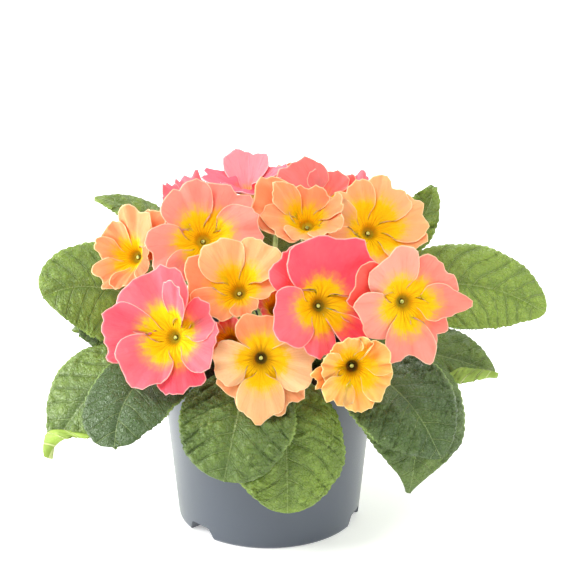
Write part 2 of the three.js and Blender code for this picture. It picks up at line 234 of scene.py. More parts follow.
def tools_for(tree):
    """math_node, ramp_between, mix_colours and attribute, each already told its tree."""
    return [partial(tool, tree) for tool in (math_node, ramp_between, mix_colours, attribute)]


print("node helpers ready")

# %% [markdown]
# ## Mottling, a shared effect
# Nothing that grew has one flat colour. Two layers of noise, one broad and one fine, drive every
# finish here, so they are one node group: it takes a place and the size of the patches, and gives
# the broad value, the fine value and a grain height for a bump. Most finishes need no more than
# two colours and this group, so one function makes them.

# %% Mottling
BROAD_RELIEF = 0.3  # shares of the two layers in the grain's height
FINE_RELIEF = 0.7

mottling, group_in, group_out = new_group(
    "mottling",
    {"Place": "vector", "Patches": "value", "Grain": "value"},
    {"Broad": "value", "Fine": "value", "Height": "value"},
)
broad = noise_value(mottling, group_in.outputs["Place"], group_in.outputs["Patches"], 3.0)
fine = noise_value(mottling, group_in.outputs["Place"], group_in.outputs["Grain"], 2.0)
broad_height = math_node(mottling, "MULTIPLY", broad, BROAD_RELIEF)
grain_height = math_node(mottling, "MULTIPLY_ADD", fine, FINE_RELIEF, broad_height)
feed(group_out, Broad=broad, Fine=fine, Height=grain_height)


def add_mottling(tree, patches, grain):
    """Places the mottling group. patches and grain are how many fit in a metre."""
    inputs = {"Place": object_place(tree), "Patches": patches, "Grain": grain}
    return place_group(tree, mottling, inputs)


def mottled_finish(name, colours, patches, grain, spread=None, layer="Broad", bump=None, **constants):
    """A finish whose two colours follow one layer of the mottling.

    spread is the two values of that layer between which the colour changes, or None where it
    changes all the way, and bump is the height of the grain in metres. Gives the material, its
    tree, its shader and the mottling, for a finish that adds more."""
    material, tree, shader = new_material(name, **constants)
    mottle = add_mottling(tree, patches, grain)
    share = ramp_between(tree, mottle.outputs[layer], *spread) if spread else mottle.outputs[layer]
    feed(shader, Base_Color=mix_colours(tree, share, *colours))
    if bump:
        feed(shader, Normal=bump_from(tree, mottle.outputs["Height"], bump))
    return material, tree, shader, mottle


print(f"mottling group: {len(mottling.nodes)} nodes")

# %% [markdown]
# ## The floor
# The floor is only a stage. It is very pale and rough, which lets the pot's soft shadow show
# without any reflection, and it glows a little, which keeps it white far away from the lamps.

# %% Floor
FLOOR_SIZE = 8.0  # metres
FLOOR_GLOW = 0.34
FLOOR_COLOURS = (rgb(246, 246, 246), rgb(250, 250, 250))

floor_material = mottled_finish(
    "studio_floor", FLOOR_COLOURS, 3.0, 40.0,
    Roughness=0.8, Emission_Color=WHITE, Emission_Strength=FLOOR_GLOW,
)[0]

floor_mesh = bpy.data.meshes.new("studio_floor")
bm = bmesh.new()
bmesh.ops.create_grid(bm, x_segments=1, y_segments=1, size=FLOOR_SIZE / 2)
bm.to_mesh(floor_mesh)
bm.free()
floor = bpy.data.objects.new("studio_floor", floor_mesh)
floor_mesh.materials.append(floor_material)
bpy.context.scene.collection.objects.link(floor)
print(f"floor: {FLOOR_SIZE} m wide")


# %% [markdown]
# ## Making a piece
# Each piece becomes one object at the origin that holds its place in its mesh, rides on the part's
# one body, stands in for its solid, which it hides, and takes its materials. Doing this in one
# function means that no piece can be left out. The small functions after it shape everything that
# follows: they turn an azimuth into a direction, blend two values, and fade an effect in or out.

# %% Piece helper
triangle_counts = {}


def make_piece(bm, node, materials):
    """Turns a bmesh into the finished object that stands for a solid of the frame."""
    mesh = bpy.data.meshes.new(f"{node}_detail")
    bm.to_mesh(mesh)
    bm.free()
    for material in materials:
        mesh.materials.append(material)
    mesh.polygons.foreach_set("use_smooth", [True] * len(mesh.polygons))
    piece = bpy.data.objects.new(f"{node}_detail", mesh)
    bpy.context.scene.collection.objects.link(piece)
    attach(piece, "root")
    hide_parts(node)
    triangle_counts[node] = sum(len(face.vertices) - 2 for face in mesh.polygons)
    return piece


def total_triangles(kind):
    """The triangles of all pieces of one kind so far, before their modifiers."""
    return sum(count for node, count in triangle_counts.items() if node.startswith(kind))


def grow_ring(bm, edges):
    """Extrudes a loop of edges. Gives the corners and the edges of the new loop."""
    made = bmesh.ops.extrude_edge_only(bm, edges=edges)["geom"]
    corners = [item for item in made if isinstance(item, bmesh.types.BMVert)]
    return corners, [item for item in made if isinstance(item, bmesh.types.BMEdge)]


print("piece helper ready")


# %% Shaping helpers
def level(azimuth):
    """A level direction from its azimuth in degrees: 0 is the front, 90 is +X."""
    turn = math.radians(azimuth)
    return Vector((math.sin(turn), -math.cos(turn), 0.0))


def clamp(value, low=0.0, high=1.0):
    return max(low, min(high, value))


def smoothstep(value, low, high):
    """Runs smoothly from 0, where the value is low, to 1, where it is high."""
    share = clamp((value - low) / (high - low))
    return share * share * (3 - 2 * share)


def mix(first, second, share):
    return first + (second - first) * share


def bell(value, width):
    """1 at value 0, fading to nothing a few widths away."""
    return math.exp(-((value / width) ** 2))


print("shaping helpers ready")


# %% [markdown]
# ## Curves
# Leaves and stalks follow a cubic Bezier curve. A Bezier's own parameter runs faster where the
# curve is stretched, so the helper measures the curve once and then answers by true length.

# %% Measured Bezier curve
class Curve:
    """A cubic Bezier curve that is asked for places and directions by its share of length."""

    STEPS = 120

    def __init__(self, start, first, second, end):
        self.corners = (start, first, second, end)
        places = [self._raw(step / self.STEPS) for step in range(self.STEPS + 1)]
        self.run = [0.0]
        for before, after in zip(places, places[1:]):
            self.run.append(self.run[-1] + (after - before).length)
        self.length = self.run[-1]

    def _raw(self, t):
        a, b, c, d = self.corners
        s = 1 - t
        return a * s**3 + b * (3 * s * s * t) + c * (3 * s * t * t) + d * t**3

    def _parameter(self, share):
        goal = clamp(share) * self.length
        low, high = 0, self.STEPS
        while high - low > 1:
            middle = (low + high) // 2
            if self.run[middle] <= goal:
                low = middle
            else:
                high = middle
        part = (goal - self.run[low]) / max(self.run[high] - self.run[low], 1e-12)
        return (low + part) / self.STEPS

    def place(self, share):
        return self._raw(self._parameter(share))

    def direction(self, share):
        a, b, c, d = self.corners
        t = self._parameter(share)
        s = 1 - t
        slope = (b - a) * (3 * s * s) + (c - b) * (6 * s * t) + (d - c) * (3 * t * t)
        return slope.normalized()


print("curve helper ready")

# %% [markdown]
# ## The pot's finish
# The pot is injection-moulded plastic in a blue grey. Such a pot is satin, not glossy: a very fine
# grain breaks up the reflection, and the colour drifts a little where the plastic flowed. A weak
# sheen brightens the wall where it turns away, as the handled, dusty surface of a pot does.

# %% Pot plastic
POT_GREY = rgb(59, 67, 80)
POT_GREY_PALE = rgb(65, 73, 86)

pot_plastic, tree, shader, mottle = mottled_finish(
    "pot_plastic", (POT_GREY, POT_GREY_PALE), 14.0, 2400.0, bump=0.00006,
    Specular_IOR_Level=0.7, Sheen_Weight=0.42, Sheen_Roughness=0.4,
)
feed(shader, Roughness=ramp_between(tree, mottle.outputs["Broad"], 0.3, 0.7, 0.36, 0.44))
print("pot_plastic made")

# %% [markdown]
# ## The pot
# A nursery pot is a thin tapered cup with a thicker lip. On the real one everything is round about
# the axis except three notches at the foot and the drainage holes, so it is spun from a profile and
# then those are cut away with Boolean modifiers. The modifiers are applied at once, because the
# cutting shapes aren't part of the pot.

# %% Pot sizes
POT = {
    "height": 85.0, "rim": 52.5, "base": 44.0, "wall": 1.3, "floor": 2.0,
    "lip_height": 7.0, "lip_depth": 1.6, "rounding": 0.6,
}  # mm, with radii for the rim and the base
NOTCH = {"azimuths": (-48, 72, 192), "width": 18.0, "height": 6.0, "slant": 3.5, "depth": 11.0}
DRAIN = {"count": 6, "radius": 4.0, "ring": 22.0}
SPIN_STEPS = 144


def wall_radius(height):
    """The pot wall's outer radius at a height, in mm."""
    return POT["base"] + (POT["rim"] - POT["base"]) * height / POT["height"]


def spin_profile(bm, profile, steps=SPIN_STEPS):
    """Spins [radius, height] pairs in mm round the Z axis into a closed surface."""
    corners = [bm.verts.new((radius * MM, 0.0, height * MM)) for radius, height in profile]
    edges = [bm.edges.new(pair) for pair in zip(corners, corners[1:])]
    bmesh.ops.spin(
        bm, geom=corners + edges, cent=(0, 0, 0), axis=(0, 0, 1), angle=math.tau,
        steps=steps, use_merge=True, use_duplicate=False,
    )
    bmesh.ops.remove_doubles(bm, verts=bm.verts, dist=0.001 * MM)
    bmesh.ops.recalc_face_normals(bm, faces=bm.faces)


print(f"pot: {POT['rim'] * 2} mm across the rim, {POT['height']} mm high")


# %% Cutters for the notches and the drainage holes
def add_prism(bm, outline, start, end, azimuth):
    """A prism whose outline of [sideways, height] mm runs outward along an azimuth."""
    outward = level(azimuth)
    sideways = outward.cross(UP)
    corners = [
        bm.verts.new((outward * start - sideways * side + UP * height) * MM)
        for side, height in outline
    ]
    face = bm.faces.new(corners)
    moved = bmesh.ops.extrude_face_region(bm, geom=[face])
    new_corners = [item for item in moved["geom"] if isinstance(item, bmesh.types.BMVert)]
    bmesh.ops.translate(bm, verts=new_corners, vec=outward * (end - start) * MM)


def notch_cutter(grow):
    """The three notches as prisms, larger by grow mm on each side."""
    half = NOTCH["width"] / 2 + grow
    top = NOTCH["height"] + grow
    corner = half - NOTCH["slant"]
    right = [
        (half, -2.0), (half, 0.0), (corner + 1.0, top - 1.2), (corner + 0.3, top - 0.3),
        (corner - 1.0, top),
    ]
    outline = [(-half, -2.0), *right, *[(-side, height) for side, height in reversed(right[1:])]]
    bm = bmesh.new()
    for azimuth in NOTCH["azimuths"]:
        add_prism(bm, outline, POT["base"] - NOTCH["depth"] - grow, POT["rim"] + 4.0, azimuth)
    bmesh.ops.recalc_face_normals(bm, faces=bm.faces)
    return bm


def drain_cutter():
    """The drainage holes as round rods."""
    bm = bmesh.new()
    for index in range(DRAIN["count"]):
        centre = level(360 / DRAIN["count"] * index) * DRAIN["ring"]
        made = bmesh.ops.create_cone(
            bm, cap_ends=True, segments=32, radius1=DRAIN["radius"] * MM,
            radius2=DRAIN["radius"] * MM, depth=4 * POT["floor"] * MM,
        )
        bmesh.ops.translate(bm, verts=made["verts"], vec=centre * MM)
    return bm


def scratch_object(name, bm):
    """A passing object, for a modifier to work on."""
    mesh = bpy.data.meshes.new(name)
    bm.to_mesh(mesh)
    bm.free()
    made = bpy.data.objects.new(name, mesh)
    bpy.context.scene.collection.objects.link(made)
    return made


def cut_away(target, cutter):
    """Cuts one object out of another and throws the cutter away."""
    modifier = target.modifiers.new("cut", "BOOLEAN")
    modifier.operation = "DIFFERENCE"
    modifier.solver = "EXACT"
    modifier.object = cutter
    evaluated = target.evaluated_get(bpy.context.evaluated_depsgraph_get())
    finished = bpy.data.meshes.new_from_object(evaluated)
    target.modifiers.clear()
    target.data = finished
    bpy.data.objects.remove(cutter)


print("cutters ready")

# %% Pot
lip_bottom = POT["height"] - POT["lip_height"]
lip_radius = POT["rim"] + POT["lip_depth"]
rounding = POT["rounding"]
outer_profile = [
    (0.0, 0.0),
    (POT["base"] - 1.6, 0.0),
    (POT["base"] - 0.7, 0.25),
    (wall_radius(1.0) - 0.15, 0.9),
    (wall_radius(2.0), 2.0),
    (wall_radius(lip_bottom - 1.0), lip_bottom - 1.0),
    (wall_radius(lip_bottom) + 0.5, lip_bottom),
    (lip_radius - 0.2, lip_bottom + 0.7),
    (lip_radius, lip_bottom + 1.2),
    (lip_radius, POT["height"] - rounding),
    (lip_radius - 0.25, POT["height"] - 0.1),
    (lip_radius - rounding, POT["height"]),
    (0.0, POT["height"]),
]
above = POT["height"] + POT["floor"]
inner_profile = [
    (0.0, POT["floor"]),
    (wall_radius(POT["floor"]) - POT["wall"] - 1.0, POT["floor"]),
    (wall_radius(POT["floor"] + 1.0) - POT["wall"], POT["floor"] + 1.0),
    (wall_radius(above) - POT["wall"], above),
    (0.0, above),
]
bm = bmesh.new()
spin_profile(bm, outer_profile)
pot_body = scratch_object("pot_body", bm)
bm = bmesh.new()
spin_profile(bm, inner_profile)
room = scratch_object("room", bm)
cut_away(room, scratch_object("notch_rooms", notch_cutter(POT["wall"])))
cut_away(pot_body, room)
cut_away(pot_body, scratch_object("notches", notch_cutter(0.0)))
cut_away(pot_body, scratch_object("drains", drain_cutter()))

bm = bmesh.new()
bm.from_mesh(pot_body.data)
bpy.data.objects.remove(pot_body)
bmesh.ops.remove_doubles(bm, verts=bm.verts, dist=0.02 * MM)
bmesh.ops.dissolve_degenerate(bm, edges=bm.edges, dist=0.005 * MM)
pot = make_piece(bm, "pot", [pot_plastic])
pot_bevel = pot.modifiers.new("softened edges", "BEVEL")
pot_bevel.limit_method = "ANGLE"
pot_bevel.angle_limit = math.radians(40)
pot_bevel.width = 0.35 * MM
pot_bevel.segments = 2
pot.modifiers.new("even shading", "WEIGHTED_NORMAL").keep_sharp = True
print(f"pot: {len(pot.data.polygons)} faces before its bevel")

# %% [markdown]
# ## The soil
# Peat shows as a dark, crumbly surface deep between the leaves. Its solid is a plug that follows
# the pot's wall and steps in over the notches at its foot. Here the top is pushed up and down by
# two layers of noise, broad lumps and small crumbs, and the colour follows the same idea with
# paler fibres.

# %% Peat finish
PEAT_DARK = rgb(38, 27, 19)
PEAT_PALE = rgb(92, 68, 46)

peat = mottled_finish(
    "peat", (PEAT_DARK, PEAT_PALE), 260.0, 1500.0, spread=(0.45, 0.75), layer="Fine", bump=0.0012,
    Roughness=0.95, Specular_IOR_Level=0.2,
)[0]
print("peat made")

# %% Soil
SOIL = {"top": 77.0, "crest": 1.2, "level": 0.8, "gap": 0.3, "foot": 9.0, "foot_depth": 11.0}
SOIL_RINGS = 56
LUMPS, LUMP_HEIGHT = 0.12, 0.8  # per mm, mm
CRUMBS, CRUMB_HEIGHT = 0.55, 0.9
CALM_RADIUS = 17.0  # mm from the axis, where the crown covers the soil

inset = POT["wall"] + SOIL["gap"]
bottom = POT["floor"] + SOIL["gap"]
soil_edge = wall_radius(SOIL["top"]) - inset
foot_edge = wall_radius(SOIL["foot"]) - inset
soil_profile = [
    (0.0, bottom),
    (wall_radius(bottom) - inset - SOIL["foot_depth"], bottom),
    (foot_edge - SOIL["foot_depth"], SOIL["foot"]),
    (foot_edge, SOIL["foot"]),
    (soil_edge, SOIL["top"] - SOIL["crest"]),
]
for ring in range(1, SOIL_RINGS):
    share = 1 - ring / SOIL_RINGS
    fall = SOIL["crest"] * smoothstep(share, SOIL["level"], 1.0)
    soil_profile.append((soil_edge * share, SOIL["top"] - fall))
soil_profile.append((0.0, SOIL["top"]))
bm = bmesh.new()
spin_profile(bm, soil_profile, steps=128)
for vert in bm.verts:
    radius = math.hypot(vert.co.x, vert.co.y) / MM
    on_top = vert.co.z / MM > SOIL["top"] - SOIL["crest"] - 0.5
    if on_top and CALM_RADIUS < radius < soil_edge - 0.2:
        lump = noise.noise(vert.co / MM * LUMPS) * LUMP_HEIGHT
        crumb = noise.noise(vert.co / MM * CRUMBS + Vector((7.0, 3.0, 1.0))) * CRUMB_HEIGHT
        vert.co.z += (lump + crumb) * MM * smoothstep(radius, CALM_RADIUS, CALM_RADIUS + 3.0)
make_piece(bm, "soil", [peat])
print(f"soil: {triangle_counts['soil']} triangles")

# %% [markdown]
# ## The crown
# All stalks spring from the crown, a short knob at soil level covered by the stumps of old leaves.
# It is a spun dome with shallow furrows, in a dull green with brown patches.

# %% Crown finish
CROWN_GREEN = rgb(138, 150, 84)
CROWN_BROWN = rgb(104, 84, 52)

crown_tissue = mottled_finish(
    "crown_tissue", (CROWN_GREEN, CROWN_BROWN), 160.0, 900.0, spread=(0.4, 0.65), bump=0.0006,
    Roughness=0.65,
)[0]
print("crown_tissue made")

# %% Crown
CROWN = {"radius": 16.0, "shoulder": 88.0, "top": 92.5, "rounding": 0.4}
CROWN_BOTTOM = SOIL["top"] + SOIL["gap"]
FURROWS = 17
FURROW_DEPTH = 0.6


def crown_height(radius):
    """The crown's height at a distance from its middle, in mm."""
    bulge = math.cos(radius / CROWN["radius"] * math.pi / 2)
    return CROWN["shoulder"] + (CROWN["top"] - CROWN["shoulder"]) * bulge


rounding = CROWN["rounding"]
crown_profile = [(0.0, CROWN_BOTTOM), (CROWN["radius"] - rounding, CROWN_BOTTOM)]
for step in range(9):
    height = mix(CROWN_BOTTOM + rounding, CROWN["shoulder"] - rounding, step / 8)
    crown_profile.append((CROWN["radius"], height))
for step in range(1, 13):
    radius = CROWN["radius"] * (1 - step / 12)
    crown_profile.append((radius, crown_height(radius)))
bm = bmesh.new()
spin_profile(bm, crown_profile, steps=72)
for vert in bm.verts:
    turn = math.atan2(vert.co.y, vert.co.x)
    furrow = 0.35 * math.sin(turn * FURROWS) + 0.25 * noise.noise(vert.co / MM * 0.4)
    outward = Vector((vert.co.x, vert.co.y, 0.0))
    if outward.length > 2 * MM:
        vert.co -= outward.normalized() * (0.45 + furrow) * MM * FURROW_DEPTH
make_piece(bm, "crown", [crown_tissue])
print(f"crown: {triangle_counts['crown']} triangles")

# %% [markdown]
# ## How a leaf is described
# A primrose leaf is one blade that narrows into its stalk. It is described by where it leaves the
# crown, by the curve of its midrib, by the way its upper side faces, and by its width. A few more
# numbers give its character: how far its edges hang, how blunt it is, how deeply it is puckered,
# how wavy its edge is and how dark it is. A fold turns a part of one edge over and shows the under
# side: it says where along the blade it begins and where it is full, how much of that half is
# turned over, which half (-1 or 1), and how much broader the blade is cut there. All lengths are
# in millimetres.

# %% Leaves
LEAF = {
    "stalk_width": 5.0, "stalk_thickness": 2.4, "blade_start": 0.28, "skew": 1.2, "tip_width": 2.0,
    "turn": (0.1, 0.6), "gap": 0.3,
}
TIER = {"low": 80.5, "high": 86.5}  # heights at which leaves leave the crown


def leaf(azimuth, tier, first, second, tip, face, width, droop, blunt, **character):
    """One leaf's numbers. first, second and tip are the midrib's last three Bezier corners."""
    defaults = {"pucker": 1.0, "tone": 0.5, "wave": 1.0, "fold": None}
    return {
        "azimuth": azimuth, "tier": tier, "corners": (first, second, tip), "face": face,
        "width": width, "droop": droop, "blunt": blunt, **defaults, **character,
    }


LEAVES = [
    leaf(-93, "high", (-44, 2, 103.5), (-82, 4, 128), (-107.5, -5, 114.5), (-0.15, -0.75, 0.65),
         50, 0.1, 0.5, pucker=0.6, tone=0.2),
    leaf(-124, "high", (-32, 38, 112), (-57, 54, 144), (-86, 51, 145), (0, -0.2, 1), 28, 0.2, 0.8,
         tone=0.1),
    leaf(-82, "low", (-40, -1, 94), (-70, -2, 93), (-90, -10, 98), (0, -0.4, 1), 26, 0.1, 0.6,
         tone=0.9),
    leaf(-64, "low", (-44, -26, 98), (-79, -40, 103), (-103, -50, 51.5), (-0.4, -0.6, 0.7), 51, 0.1, 1.2,
         tone=0.52, fold=(0.78, 0.97, 1.0, -1, 0.0)),
    leaf(-42, "high", (-36, -37, 98), (-69.8, -58.2, 106), (-69.8, -81.3, 71), (-0.3, -0.6, 0.8),
         45, 0.15, 0.42, pucker=0.6, tone=1.12),
    leaf(-16, "high", (-8, -46, 100), (-12, -80, 98), (-20, -90, 58), (-0.1, -0.8, 0.6), 54, 0.12, 0.45,
         pucker=1.4, tone=0.65),
    leaf(8, "low", (5, -46, 96), (9, -74, 96), (9, -78, 36), (0, -0.9, 0.4), 54, 0.05, 0.55,
         pucker=1.05, tone=0.25),
    leaf(42, "high", (30, -38, 100), (64, -66, 106), (79, -78, 64), (0.3, -0.6, 0.75), 54, 0.12, 0.7,
         pucker=1.3, tone=0.9),
    leaf(60, "low", (40, -30, 98), (84, -44, 107), (65.5, -62, 38.5), (0.45, -0.7, 0.5), 58, 0.08, 1.35,
         tone=0.75),
    leaf(79, "low", (44, -8, 94.5), (80, -12, 92), (108, -16, 80), (0.1, -0.5, 0.9), 40, 0.1, 0.8,
         tone=0.55, fold=(0.66, 0.84, 0.42, 1, 0.5)),
    leaf(97, "high", (42, 12, 108), (92, 16, 129.5), (133.5, 8, 101), (0.2, -0.75, 0.6), 44, 0.1, 0.65,
         pucker=0.5, tone=0.0),
    leaf(120, "high", (38, 32, 110), (79, 44, 127), (80, 46, 151.5), (-0.6, -0.7, 0.3), 27, -0.2, 0.5,
         pucker=1.6, tone=0.2, wave=1.6),
    leaf(128, "low", (38, 30, 92), (78, 52, 96), (104, 62, 72), (0.2, 0.2, 1), 44, 0.15, 0.6),
    leaf(150, "high", (26, 44, 98), (48, 73, 104), (62, 94, 78), (0.1, 0.4, 1), 43, 0.15, 0.6, tone=0.3),
    leaf(176, "low", (2, 44, 102), (2, 82, 138), (0, 104, 106), (0, 0.4, 1), 44, 0.15, 0.6, tone=0.6),
    leaf(-156, "high", (-20, 44, 104), (-42, 74, 110), (-56, 94, 84), (-0.1, 0.4, 1), 44, 0.15, 0.6,
         tone=0.4),
    leaf(-136, "low", (-38, 30, 93), (-76, 52, 94), (-98, 62, 70), (-0.2, 0.3, 1), 44, 0.15, 0.6,
         tone=0.7),
]
print(f"{len(LEAVES)} leaves, the widest {max(row['width'] for row in LEAVES)} mm")

# %% [markdown]
# ## Leaf veins, a shared effect
# The upper and the lower side of a leaf have the same veins, so these are one group. Each corner of
# the mesh knows how far it lies from the midrib and along it. From those two numbers the group
# draws the midrib and the side veins that leave it at a slant, thinning towards the edge. The side
# veins of one half start a little further on than those of the other, as on the real leaf.

# %% Leaf vein group
VEIN_SPACING = 8.5  # mm along the midrib
VEIN_SLANT = 0.62  # how far a side vein climbs for each mm outward
VEIN_BEND = 0.006  # how much more it climbs towards the edge
VEIN_STAGGER = 0.22  # how far the veins of each half are moved along, as a share of the spacing
RIB_NARROWS = (30.0, 90.0)  # mm along the midrib between which it thins

leaf_veins, group_in, group_out = new_group(
    "leaf_veins", {"Branch Width": "value"}, {"Midrib": "value", "Branches": "value"}
)
calc, ramp, _, held = tools_for(leaf_veins)
from_midrib = held("from_midrib")
along_midrib = held("along_midrib")
outward = calc("ABSOLUTE", from_midrib)
midrib_width = ramp(along_midrib, *RIB_NARROWS, 1.0, 0.25)
midrib_mask = ramp(calc("DIVIDE", outward, midrib_width), 1.0, 0.45)
climb = calc("MULTIPLY", outward, calc("MULTIPLY_ADD", outward, VEIN_BEND, VEIN_SLANT))
order = calc("DIVIDE", calc("SUBTRACT", along_midrib, climb), VEIN_SPACING)
stagger = calc("MULTIPLY", calc("SIGN", from_midrib), VEIN_STAGGER)
cycle = calc("FRACT", calc("ADD", order, stagger))
off_vein = calc("ABSOLUTE", calc("SUBTRACT", cycle, 0.5))
branch_width = calc("MULTIPLY", ramp(outward, 0.0, 28.0, 1.0, 0.4), group_in.outputs["Branch Width"])
branch_mask = ramp(calc("DIVIDE", off_vein, branch_width), 1.0, 0.2)
feed(group_out, Midrib=midrib_mask, Branches=branch_mask)
print(f"leaf_veins group: {len(leaf_veins.nodes)} nodes")

# %% [markdown]
# ## Leaf finishes
# The upper side is a satin green with painted shade in its hollows, which are darker than its
# puckers, and with a pale midrib and a thin pale edge. The under side is a lighter lime green with a
# matt bloom and stronger veins. Fine cells, from a Voronoi texture, stand for the smallest net of
# veins, and their sunken lines are darkened a little as painted shade. A little light passes into a
# leaf, which is what subsurface scattering shows.

# %% Leaf upper side
LEAF_LIGHT = rgb(126, 151, 54)
LEAF_DARK = rgb(65, 88, 42)
# a deep green: painted shade in the hollows and fine vein lines of the upper side, darker patches on the
# under side
LEAF_SHADE_AND_DEEP_GREEN = rgb(50, 76, 24)
LEAF_RIB = rgb(176, 194, 124)
LEAF_EDGE = rgb(150, 178, 88)

LEAF_GLOW = {"Subsurface_Radius": (0.4, 1.0, 0.2), "Subsurface_Scale": 0.0012}
NET_CELLS = 520.0  # cells of the finest veins in a metre

leaf_blade, tree, shader = new_material(
    "leaf_blade", Specular_IOR_Level=0.45, Subsurface_Weight=0.06, **LEAF_GLOW
)
calc, ramp, blend, held = tools_for(tree)
mottle = add_mottling(tree, 60.0, 1100.0)
veins = place_group(tree, leaf_veins, {"Branch Width": 0.07})
net_inputs = {"Vector": object_place(tree), "Scale": NET_CELLS}
net = add_node(tree, "ShaderNodeTexVoronoi", net_inputs, feature="DISTANCE_TO_EDGE").outputs["Distance"]
net_line = ramp(net, 0.12, 0.0)
tone = calc("ADD", held("tone"), calc("MULTIPLY_ADD", mottle.outputs["Broad"], 0.8, -0.4))
green = blend(tone, LEAF_LIGHT, LEAF_DARK)
# painted shade: the hollows, where the pucker share is low, and the sunken lines of the fine vein net are
# darkened
green = blend(ramp(held("pucker"), 0.6, 0.0, 0.0, 0.42), green, LEAF_SHADE_AND_DEEP_GREEN)
green = blend(calc("MULTIPLY", net_line, 0.06), green, LEAF_SHADE_AND_DEEP_GREEN)
green = blend(calc("MULTIPLY", veins.outputs["Branches"], 0.18), green, LEAF_RIB)
green = blend(calc("MULTIPLY", veins.outputs["Midrib"], 0.3), green, LEAF_RIB)
green = blend(ramp(held("to_edge"), 1.4, 0.3, 0.0, 0.6), green, LEAF_EDGE)
relief = calc("MULTIPLY_ADD", net_line, -0.25, mottle.outputs["Height"])
relief = calc("MULTIPLY_ADD", veins.outputs["Branches"], -0.6, relief)
satin = ramp(mottle.outputs["Fine"], 0.3, 0.7, 0.25, 0.4)
feed(shader, Base_Color=green, Roughness=satin, Normal=bump_from(tree, relief, 0.0008))
print(f"leaf_blade: {len(tree.nodes)} nodes")

# %% Leaf under side
UNDER_GREEN = rgb(152, 180, 66)
UNDER_RIB = rgb(200, 212, 140)

leaf_under, tree, shader = new_material(
    "leaf_under", Roughness=0.6, Subsurface_Weight=0.08, **LEAF_GLOW
)
calc, ramp, blend, held = tools_for(tree)
mottle = add_mottling(tree, 80.0, 1300.0)
veins = place_group(tree, leaf_veins, {"Branch Width": 0.11})
ribs = calc("MAXIMUM", veins.outputs["Midrib"], veins.outputs["Branches"])
# darker patches that follow the broad mottling: the under side's own colour
under = blend(ramp(mottle.outputs["Broad"], 0.3, 0.7, 0.0, 0.35), UNDER_GREEN, LEAF_SHADE_AND_DEEP_GREEN)
under = blend(calc("MULTIPLY", ribs, 0.8), under, UNDER_RIB)
relief = calc("ADD", ribs, mottle.outputs["Height"])
feed(shader, Base_Color=under, Normal=bump_from(tree, relief, 0.0004))
print(f"leaf_under: {len(tree.nodes)} nodes")


# %% [markdown]
# ## Building a leaf
# One grid of faces is laid along the midrib: its columns run across the blade and its rows along
# it. A formula then moves every corner. It sets the outline with its small scallops and its ragged
# edge, presses the veins in, swells the spaces between them, and adds the puckers of a Voronoi
# pattern. The side veins wander a little, because veins ruled with a straight edge look printed. A
# Solidify modifier gives the blade its wall, thicker along the midrib and the stalk than in the
# blade, and its material offset gives the under side its own finish.

# %% Leaf outline
LEAF_COLUMNS = 44
LEAF_ROWS = 132
BLADE_THICKNESS = 0.55
SCALLOP = 2.7  # mm from one scallop of the edge to the next
SCALLOP_DEPTH = 0.75  # mm
RAGGED_DEPTH = 0.7  # mm by which the edge strays at random
EDGE_CUT = 0.5  # mm by which the scallops are set in


def leaf_start(row):
    """Where the stalk meets the crown, pushed out so that its end stays clear."""
    outward = level(row["azimuth"])
    start = outward * CROWN["radius"] + UP * TIER[row["tier"]]
    towards = (Vector(row["corners"][0]) - start).normalized()
    sideways = abs(towards.dot(outward.cross(UP)))
    tilt = (LEAF["stalk_thickness"] * abs(towards.z) + LEAF["stalk_width"] * sideways) / 2
    return start + outward * (LEAF["gap"] + tilt)


def blade_swell(along, blunt):
    """0 at the stalk and 1 where the blade is broadest."""
    if along <= LEAF["blade_start"]:
        return 0.0
    share = ((along - LEAF["blade_start"]) / (1 - LEAF["blade_start"])) ** LEAF["skew"]
    return max(math.sin(math.pi * min(share, 1.0)), 0.0) ** blunt


def blade_half(row, number, across, along, along_mm, swell, phase):
    """The width of half the blade in mm, with the scallops and the ragged line of its edge."""
    end_width = mix(LEAF["stalk_width"], LEAF["tip_width"], along)
    half = (end_width + (row["width"] - end_width) * swell) / 2
    flank = 5.0 if across > 0 else -5.0
    scallop = abs(math.sin(math.pi * along_mm / SCALLOP + phase * (across > 0)))
    ragged = noise.noise(Vector((along_mm * 0.25, flank, number * 3.1)))
    ragged += 2.2 * noise.noise(Vector((along_mm * 0.07, flank, number * 5.7)))
    edge = SCALLOP_DEPTH * scallop - EDGE_CUT + RAGGED_DEPTH * ragged
    half += smoothstep(swell, 0.1, 0.5) * edge * smoothstep(abs(across), 0.8, 1.0)
    return half * folded_breadth(row["fold"], across, along)


print(f"leaf outline: a scallop every {SCALLOP} mm")

# %% Leaf relief
PUCKER_CELL = 5.0  # mm across one pucker
VEIN_WANDER = 5.0  # mm by which the side veins stray
QUILT_HEIGHT = 0.5  # mm by which the blade swells between two side veins
PUCKER_HEIGHT = 1.6  # mm by which a pucker stands up
CRINKLE_HEIGHT = 0.4  # mm of fine folds towards the edge
GROOVE_DEPTH = 1.1  # mm by which the midrib lies below the blade


